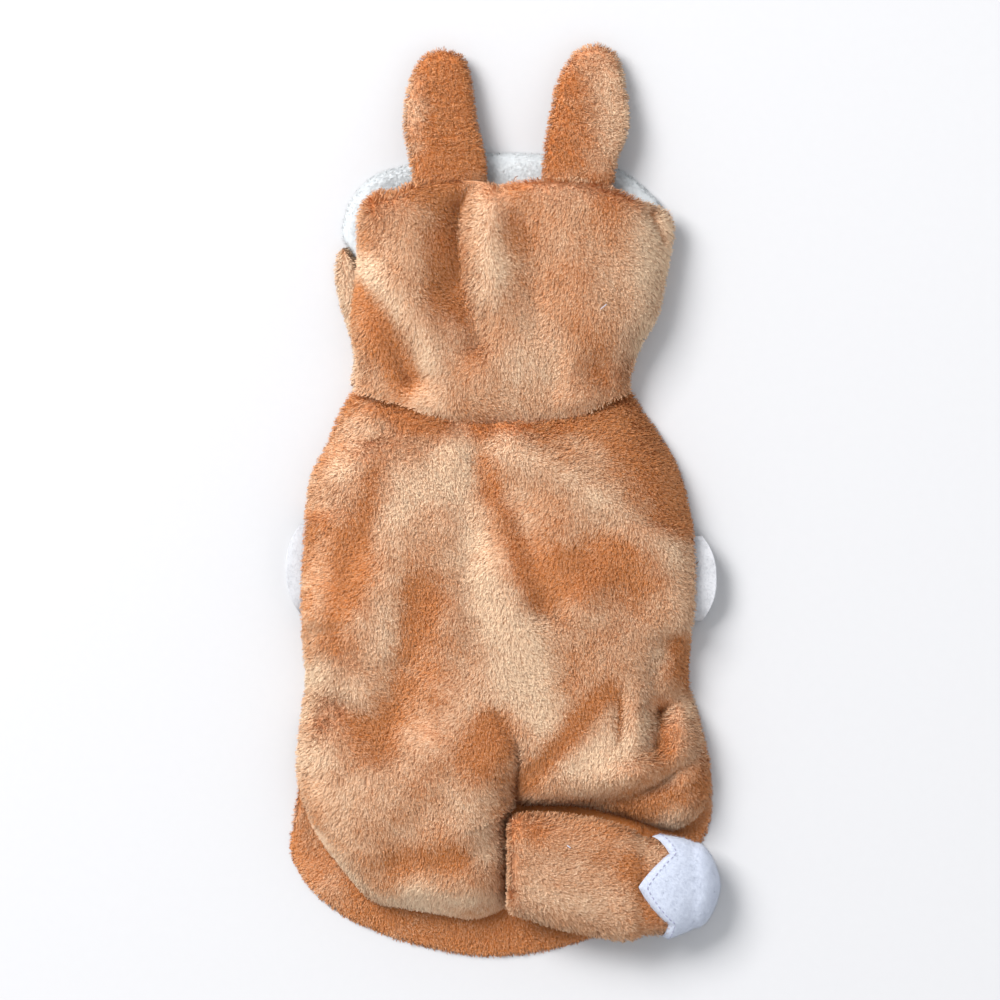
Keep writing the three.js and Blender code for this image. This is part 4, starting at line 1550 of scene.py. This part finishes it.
    def build_stitches(self, finishes: Finishes) -> None:
        """Sew the patch on with stitches that follow its zigzag edge.

        Args:
            finishes: the costume's materials.
        """
        turn = np.linspace(0, 1, 1200)
        line = self.place(self.edge_at(turn, self.stitch_inset), turn, 0.5 + FELT_WALL + 0.05)
        gone = np.concatenate([[0], np.cumsum(np.linalg.norm(np.diff(line, axis=0), axis=1))])
        pitch = self.stitch_length + self.stitch_gap
        paths = []
        for k in range(int(gone[-1] / pitch)):
            here = k * pitch + np.linspace(0, self.stitch_length, 6)
            path = np.stack([np.interp(here, gone, line[:, c]) for c in range(3)], -1)
            path[[0, -1]] = mix(path[[0, -1]], path[[1, -2]], 0.3) - (0, 0, 0.35)
            paths.append(path)
        threads("tail_topstitch", paths, 0.27, finishes.thread)

    def build(self, finishes: Finishes) -> None:
        """Make the tail, its felt patch and the stitches.

        Args:
            finishes: the costume's materials.
        """
        self.build_tail(finishes)
        self.build_patch(finishes)
        self.build_stitches(finishes)


def threads(
    name: str, paths: list[Array], radius: float, finish: bpy.types.Material
) -> bpy.types.Object:
    """Make short lengths of thread as round tubes in one mesh.

    Args:
        name: the piece's name.
        paths: the points that each thread follows, in millimetres.
        radius: the thread's radius in millimetres.
        finish: its material.

    Returns:
        The piece.
    """
    around = 7
    turn = 2 * np.pi * np.arange(around) / around
    points, faces, start = [], [], 0
    for path in paths:
        way = unit(np.gradient(path, axis=0))
        side = unit(np.cross(way, (0.13, 0.21, 1.0)))
        up = np.cross(side, way)
        taper = radius * np.clip(np.sin(np.linspace(0.12, np.pi - 0.12, len(path))) * 2.4, 0.2, 1.0)
        ring = np.cos(turn)[None, :, None] * side[:, None] + np.sin(turn)[None, :, None] * up[:, None]
        surface = ring_surface(shut(path[:, None] + ring * taper[:, None, None]))
        points.append(surface.points)
        faces.append(surface.faces + start)
        start += len(surface.points)
    joined = Surface(np.concatenate(points), np.concatenate(faces))
    return solid_piece(name, joined, finish)


@dataclass
class HemLayer:
    """The flat plush layer that shows as a crescent under the seat."""

    outline: Rows = (
        (-96, -114), (-98.4, -130), (-99.8, -144), (-102, -163), (-101.3, -171), (-97.4, -180),
        (-89.8, -190), (-75.8, -201), (-50.4, -211.6), (-30.2, -216.8), (-8.6, -219.5), (10.6, -218.6),
        (27.4, -215), (46.6, -209.2), (68.2, -197.2), (85, -180.4), (95, -164.5), (99.4, -154),
        (100.6, -142), (99.4, -130), (96.5, -114),
    )
    cut: tuple[float, float] = (0.202, 0.106)
    middle: tuple[float, float] = (0.0, -128.0)
    stations: int = 260
    tone_and_shade: ToneAndShade = ToneAndShade((
        (-97, -150, -80, -196, 9, 0.25),
        (100, -126, 97, -156, 5, 0.25),
    ), seed=71, base=0.0, uneven=0.08)

    def build(self, finishes: Finishes) -> None:
        """Make the layer and its pile.

        Args:
            finishes: the costume's materials.
        """
        curve = PlanCurve(self.outline).at(np.linspace(0, 1, self.stations))
        back = mix(curve[-1], curve[0], np.linspace(0, 1, 60)[1:-1, None])
        edge = np.concatenate([curve, back])
        inward = unit(np.array(self.middle) - edge)
        far = np.linalg.norm(np.array(self.middle) - edge, axis=1)
        top = HEM_THICKNESS - PILE_DEPTH + 0.9
        # Each ring's share of the way to the middle, its height, and its step inwards
        section = (
            (1.0, 0.15, 0), (0.05, 0.2, 0), (0.012, 0.25, 0), (0, 0.6, 2.3), (0, 1.2, 1.9), (0, 1.7, 2.4),
            (0.02, top, 3.4), (0.05, top, 4), (0.10, top, 4), (0.17, top, 4), (0.3, top, 4), (1.0, top, 4),
        )
        rings = []
        for share, z, step in section:
            place = edge + inward * np.minimum(step + share * far, far)[:, None]
            rings.append(np.concatenate([place, np.full((len(edge), 1), z)], axis=1))
        rings = np.array(rings)
        flat = rings.reshape(-1, 3)
        rings[4:, :, 2] += waves(flat, 24, 72, 6).reshape(rings.shape[:2])[4:] * 0.15
        surface = Surface(rings.reshape(-1, 3), grid_faces(len(edge), len(rings), wrap=True))
        if surface.normals()[8 * len(edge):9 * len(edge), 2].mean() < 0:
            surface.faces = surface.faces[:, ::-1]
        tone = self.tone_and_shade.at(surface.points)
        hem = solid_piece("hem_cloth", surface, finishes.plush, tone)
        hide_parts("hem_panel")
        keep = np.repeat([0.0, 0.0, 0.5, 1, 1, 1, 1, 1, 1, 0.4, 0.0, 0.0], len(edge))
        pile = Pile(length=3.0, lean=0.75)
        pile.grow("hem_pile", surface, self.tone_and_shade, finishes.plush, Slot.PLUSH, 73, keep)


@dataclass
class FaceOpening:
    """The fleece trim round the face opening, the hood's front layer outside it, and the brow band."""

    trim_outer: Rows = (
        (-78.6, 126), (-77, 137), (-73.4, 146), (-62.9, 156.6), (-45.6, 162.4), (-25, 166.2),
        (5.8, 167.6), (32.2, 165.7), (55.2, 160), (69.6, 149.9), (78, 138), (71, 115),
        (60, 92), (40, 73), (1, 65), (-40, 73), (-60, 92), (-71, 113),
    )
    front_outer: Rows = (
        (-78.6, 120), (-80.4, 112), (-80.6, 103), (-77.8, 91), (-73.4, 77), (-71.5, 66), (-72.5, 53),
        (-64, 53), (-62, 49.5), (50, 49.5), (53, 53), (60.6, 53), (60.6, 60), (63.3, 70),
        (68, 80), (74, 92), (78, 106), (79.6, 118),
    )
    brow_cut: tuple[float, float] = (0.11, 0.0135)
    stations: int = 240
    fleece_depth: float = 1.8

    def trim_edge(self, share: Array, inset: float) -> Array:
        """Give places along the trim's outer edge, moved inwards by an inset.

        Args:
            share: shares of the edge's length.
            inset: how far inwards, in millimetres.

        Returns:
            The x and y of each place.
        """
        loop = self.trim_outer[-2:] + self.trim_outer + self.trim_outer[:3]
        curve = PlanCurve(loop)
        begin, end = curve.share_of(2), curve.share_of(2 + len(self.trim_outer))
        place = mix(begin, end, share)
        here = curve.at(place)
        way = unit(curve.at(place + 1e-3) - curve.at(place - 1e-3))
        return here + np.stack([way[:, 1], -way[:, 0]], -1) * inset

    def build_trim(self, finishes: Finishes) -> None:
        """Make the fleece band and its fluff.

        Args:
            finishes: the costume's materials.
        """
        share = np.arange(self.stations) / self.stations
        deep = self.fleece_depth
        angle = np.linspace(0, np.pi, 17)
        half, high = TRIM_WIDTH / 2 - deep, TRIM_THICKNESS - deep
        rings = []
        for a in angle:
            inset = TRIM_WIDTH / 2 - half * np.sign(np.cos(a)) * np.abs(np.cos(a)) ** 0.7
            place = self.trim_edge(share, inset)
            z = 0.2 + (high - 0.2) * np.sin(a) ** 0.55
            rings.append(np.concatenate([place, np.full((len(share), 1), z)], axis=1))
        rings = np.array(rings).transpose(1, 0, 2)
        flat = rings.reshape(-1, 3)
        rings[..., 2] += waves(flat, 20, 82, 6).reshape(rings.shape[:2]) * 0.35 * (rings[..., 2] > 2)
        surface = ring_surface(rings, closed=True)
        trim = solid_piece("trim_fleece", surface, finishes.fleece)
        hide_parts("hood_trim")
        keep = mix(0.12, 1.0, smoothstep(112, 132, surface.points[:, 1])) * (surface.points[:, 2] > 0.3)
        fluff = Pile(
            length=1.5, width=0.26, lean=0.5, spread=0.3, per_mm2=8.5, clump=3.0, pull=0.2, brush=(0.0, 1.0)
        )
        fluff.grow("trim_fluff", surface, ToneAndShade((), 83), finishes.fleece, Slot.FLEECE, 84, keep)

    def build_front(self, finishes: Finishes) -> None:
        """Make the plush layer that lies under the hood, outside the trim.

        Args:
            finishes: the costume's materials.
        """
        outer = PlanCurve(self.front_outer).at(np.linspace(0, 1, self.stations))
        rim = self.trim_edge(np.arange(720) / 720, -2 * SEAM_GAP - 0.4)
        gap = np.linalg.norm(outer[:, None] - rim[None], axis=2)
        inner = rim[gap.argmin(axis=1)]
        inward = unit(inner - outer)
        wide = np.linalg.norm(inner - outer, axis=1)
        top = HOOD_FRONT_THICKNESS - PILE_DEPTH
        # Each ring's height and its step inwards, 99 being all the way to the trim
        section = (
            (0.2, 3.2), (1.6, 2.4), (4.4, 2.6), (6.4, 3.6),
            (top, 5.5), (top, 8), (top, 99), (0.2, 99),
        )
        rings = []
        for z, step in section:
            place = outer + inward * np.minimum(np.full_like(wide, step), wide)[:, None]
            rings.append(np.concatenate([place, np.full((len(outer), 1), z)], axis=1))
        surface = ring_surface(shut(np.array(rings).transpose(1, 0, 2)))
        tone_and_shade = ToneAndShade((), seed=85, base=0.85)
        tone = tone_and_shade.at(surface.points)
        front = solid_piece("hood_front_cloth", surface, finishes.plush, tone)
        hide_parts("hood_front")
        away = surface.points[:, None, :2] - outer[None, ::4]
        near = np.linalg.norm(away, axis=2).min(axis=1)
        keep = (1 - smoothstep(8, 16, near)) * mix(0.6, 1.0, smoothstep(70, 84, surface.points[:, 1]))
        pile = Pile(brush=(-0.4, -1.0))
        pile.grow("hood_front_pile", surface, tone_and_shade, finishes.plush, Slot.PLUSH, 86, keep)

    def build_brow(self, finishes: Finishes) -> None:
        """Make the upright band under the top fold, where the ears are set in.

        Args:
            finishes: the costume's materials.
        """
        fold = PlanCurve(HoodBack().top_fold).at(np.linspace(0.17, 0.83, 90))
        low, high = TRIM_THICKNESS + SEAM_GAP, TRIM_THICKNESS + EAR_THICKNESS + 0.6
        rings = []
        for back, z in ((4.2, low), (4.2, high - 1), (4.5, high), (5.1, high), (5.4, high - 1), (5.4, low)):
            rings.append(np.column_stack([fold[:, 0], fold[:, 1] - back, np.full(len(fold), z)]))
        surface = ring_surface(shut(np.array(rings).transpose(1, 0, 2)))
        tone_and_shade = ToneAndShade((), seed=87)
        brow = solid_piece("brow_cloth", surface, finishes.plush, tone_and_shade.at(surface.points))
        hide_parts("hood_brow")
        Pile(length=1.4, per_mm2=3.0).grow("brow_pile", surface, tone_and_shade, finishes.plush, Slot.PLUSH, 88)

    def build(self, finishes: Finishes) -> None:
        """Make the trim, the layer outside it and the brow band.

        Args:
            finishes: the costume's materials.
        """
        self.build_trim(finishes)
        self.build_front(finishes)
        self.build_brow(finishes)


@dataclass(frozen=True)
class Sleeve:
    """A flattened front-leg sleeve with a felt cuff; its girths, cut flat, are in metres."""

    name: str
    side: int
    y: float
    inside: float
    hem: float
    outside: float
    width: float
    bow: float = 7.0
    around: int = 80
    rings: int = 24
    cuff_rings: int = 22
    pile_depth: float = 1.6
    girth: float = 0.098
    cuff_girth: float = 0.1

    def tube(self, start: float, end: float, inset: float, bow: float, steps: int) -> Array:
        """Give the rings of a flattened tube.

        Args:
            start: where it begins across the garment.
            end: where it ends.
            inset: how far inside the solids' surface it lies.
            bow: how far its end is rounded in plan.
            steps: how many rings it has.

        Returns:
            The rings.
        """
        share = np.linspace(0, 1, steps)[:, None]
        turn = (np.arange(self.around) / self.around)[None, :]
        half = SLEEVE_HEIGHT / 2
        across, up = oval(turn, self.width / 2 - inset, half - inset, 0.75)
        back = bow * np.abs(across / (self.width / 2)) ** 2.4 * share
        x = mix(start, end, share) - self.side * back
        y = self.y - self.side * (across + np.zeros_like(x))
        return np.stack([x, y, half + up + np.zeros_like(x)], -1)

    def build(self, finishes: Finishes) -> None:
        """Make the sleeve with its pile, and its cuff.

        Args:
            finishes: the costume's materials.
        """
        cloth = ring_surface(self.tube(self.inside, self.hem, self.pile_depth, 0, self.rings))
        lining = self.tube(self.inside, self.hem, SLEEVE_WALL, 0, self.rings).reshape(-1, 3)
        sleeve = cloth_piece(
            f"sleeve_cloth_{self.name}", cloth, lining, [finishes.plush, finishes.backing]
        )
        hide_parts(f"sleeve_{self.name}")
        tone_and_shade = ToneAndShade((), seed=91)
        Pile(length=2.0, brush=(float(self.side), 0.0), per_mm2=4.0).grow(
            f"sleeve_pile_{self.name}", cloth, tone_and_shade, finishes.plush, Slot.PLUSH, 92 + self.side
        )
        start = self.hem + self.side * SEAM_GAP
        rings = self.tube(start, self.outside, 0.15, self.bow, self.cuff_rings)
        flat = rings.reshape(-1, 3)
        rings[..., 2] += waves(flat, 16, 95, 6).reshape(rings.shape[:2]) * 0.35 * (rings[..., 2] > 9)
        felt = ring_surface(rings)
        lining = self.tube(start, self.outside, FELT_WALL, self.bow, self.cuff_rings).reshape(-1, 3)
        cuff = cloth_piece(f"cuff_felt_{self.name}", felt, lining, [finishes.cuff])
        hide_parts(f"cuff_{self.name}")
        FELT_FUZZ.grow(f"cuff_fuzz_{self.name}", felt, ToneAndShade((), 96), finishes.cuff, Slot.FELT, 97)


SLEEVE_RIGHT = Sleeve("right", side=1, y=-38, inside=73, hem=91, outside=102.6, width=41)
SLEEVE_LEFT = Sleeve("left", side=-1, y=-33.5, inside=-75, hem=-93.5, outside=-104.4, width=43)


@dataclass(frozen=True)
class BellyPanel:
    """The flat panel under the chest and belly, cut beside the back's wall and round the sleeves."""

    cut: tuple[float, float] = (0.187, 0.126)
    front: float = 49.2
    rear: float = -76.0
    margin: float = 5.5
    rows: int = 90
    columns: int = 36

    def half_width(self, sleeve: Sleeve, side: Rows, y: Array) -> Array:
        """Give how far the panel reaches towards one side.

        Args:
            sleeve: the sleeve on that side.
            side: the body's edge there.
            y: places along.

        Returns:
            The distance from the middle line at each place.
        """
        edge = np.abs(Profile([r[1] for r in side], [r[0] for r in side]).at(y)) - self.margin
        beside = np.abs(y - sleeve.y) < sleeve.width / 2 + SEAM_GAP
        return np.where(beside, abs(sleeve.inside) - SEAM_GAP, edge)

    def build(self, finishes: Finishes) -> None:
        """Make the panel with its plush below and its backing above.

        Args:
            finishes: the costume's materials.
        """
        y = np.linspace(self.front, self.rear, self.rows)
        body = BodyBack()
        left = -self.half_width(SLEEVE_LEFT, body.left_side, y)
        right = self.half_width(SLEEVE_RIGHT, body.right_side, y)
        u = np.linspace(0, 1, self.columns)[None, :]
        x = mix(left[:, None], right[:, None], u)
        yy = np.broadcast_to(y[:, None], x.shape)
        places = np.stack([x, yy, np.zeros_like(x)], -1).reshape(-1, 3)
        under = places + (0, 0, 0.4)
        above = places + (0, 0, BELLY_THICKNESS - 0.5)
        above[:, 2] += waves(places, 30, 99, 6) * 0.3
        surface = Surface(under, grid_faces(self.columns, self.rows))
        if surface.normals()[:, 2].mean() > 0:
            surface.faces = surface.faces[:, ::-1]
        panel = cloth_piece("belly_cloth", surface, above, [finishes.plush, finishes.backing])
        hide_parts("belly_panel")


@dataclass(frozen=True)
class LooseThreads:
    """Thread ends and single fibres that lie on the garment.

    A fleck has its x, y and z, and how far it runs across and along.
    """

    thread_radius: float = 0.22
    fleck_radius: float = 0.26
    flecks: Rows = ((48, 92, 32.5, 3.2, 2.6), (31.5, -166, 33.2, 1.8, -1.4))

    def build(self, finishes: Finishes) -> None:
        """Lay each thread where it is seen.

        Args:
            finishes: the costume's materials.
        """
        t = np.linspace(0, 1, 12)
        end = np.column_stack([5.2 + 2.2 * t, 153.6 + 3.4 * t - 2.2 * t * t, 13 + 6.5 * np.sin(t * 2.4)])
        stitch = np.column_stack([92.4 + 1.5 * t, -31.4 + 1.6 * t, 14.05 + 0.3 * np.sin(t * 3.1)])
        threads("loose_thread", [end, stitch], self.thread_radius, finishes.brown_thread)
        lint = []
        for x, y, z, run, rise in self.flecks:
            across, along = x + (t - 0.5) * run, y + (t - 0.5) * rise
            lint.append(np.column_stack([across, along, z + 0.3 * np.sin(t * 3.1)]))
        threads("lint", lint, self.fleck_radius, finishes.felt)


@dataclass(frozen=True)
class Studio:
    """A plain pale floor, soft studio light and a camera straight above, in metres.

    A lamp has its name, its place, the side of its square and its power in watts.
    """

    middle: tuple[float, float] = (-0.00144, -0.00036)
    view: float = 0.48
    subject_height: float = 0.015
    distance: float = 4.0
    sensor: float = 36.0
    lamps: tuple = (
        ("window", (-1.75, 1.5, 2.6), 1.75, 166.0),
        ("fill", (1.4, -0.8, 1.9), 1.6, 3.0),
    )
    lamp_colour: tuple[float, float, float] = (1.0, 0.985, 0.97)
    sky_colour: Colour = (0.96, 0.98, 1.0, 1)
    sky_strength: float = 0.78
    floor_side: float = 3.0
    paper_dark: Colour = (0.55, 0.552, 0.568, 1)
    paper_light: Colour = (0.562, 0.564, 0.58, 1)

    def floor(self) -> None:
        """Lay the pale floor."""
        mesh = bpy.data.meshes.new("floor")
        side = self.floor_side
        corners = [(-side, -side, 0), (side, -side, 0), (side, side, 0), (-side, side, 0)]
        mesh.from_pydata(corners, [], [(0, 1, 2, 3)])
        n = Nodes("floor_paper")
        grain = n.spread(n.noise(220, 3), 0, 1)
        n.feed(n.surface, {"Base Color": n.blend(grain, self.paper_dark, self.paper_light)})
        n.feed(n.surface, {"Roughness": 0.9, "Specular IOR Level": 0.1})
        mesh.materials.append(n.material)
        plane = bpy.data.objects.new("floor", mesh)
        bpy.context.scene.collection.objects.link(plane)

    def light(self) -> None:
        """Light the scene from all round, with a soft window upper left and a weak fill lower right."""
        world = bpy.data.worlds.new("studio")
        world.use_nodes = True
        back = world.node_tree.nodes["Background"]
        back.inputs["Color"].default_value = self.sky_colour
        back.inputs["Strength"].default_value = self.sky_strength
        bpy.context.scene.world = world
        for name, place, size, power in self.lamps:
            lamp = bpy.data.lights.new(name, "AREA")
            lamp.size = size
            lamp.energy = power
            lamp.color = self.lamp_colour
            piece = bpy.data.objects.new(name, lamp)
            piece.location = place
            piece.rotation_euler = (Vector((0, 0, 0)) - Vector(place)).to_track_quat("-Z", "Y").to_euler()
            bpy.context.scene.collection.objects.link(piece)

    def camera(self) -> None:
        """Set the camera straight above the garment with a long lens."""
        lens = bpy.data.cameras.new("camera")
        lens.sensor_width = self.sensor
        lens.lens = self.sensor * self.distance / self.view
        lens.clip_end = 20.0
        piece = bpy.data.objects.new("camera", lens)
        piece.location = (*self.middle, self.subject_height + self.distance)
        bpy.context.scene.collection.objects.link(piece)
        bpy.context.scene.camera = piece

    def build(self) -> None:
        """Make the camera, the lights and the floor."""
        self.camera()
        self.light()
        self.floor()
        bpy.context.scene.view_settings.view_transform = "Standard"


def main() -> None:
    """Build the studio and every piece of the costume, in order."""
    logging.basicConfig(level=logging.INFO, format="%(name)s: %(message)s")
    Studio().build()
    finishes = make_finishes()
    BodyBack().build(finishes)
    HoodBack().build(finishes)
    FaceOpening().build(finishes)
    for ear in EARS:
        ear.build(finishes)
    HemLayer().build(finishes)
    Tail().build(finishes)
    for sleeve in (SLEEVE_RIGHT, SLEEVE_LEFT):
        sleeve.build(finishes)
    BellyPanel().build(finishes)
    LooseThreads().build(finishes)


if __name__ == "__main__":
    main()
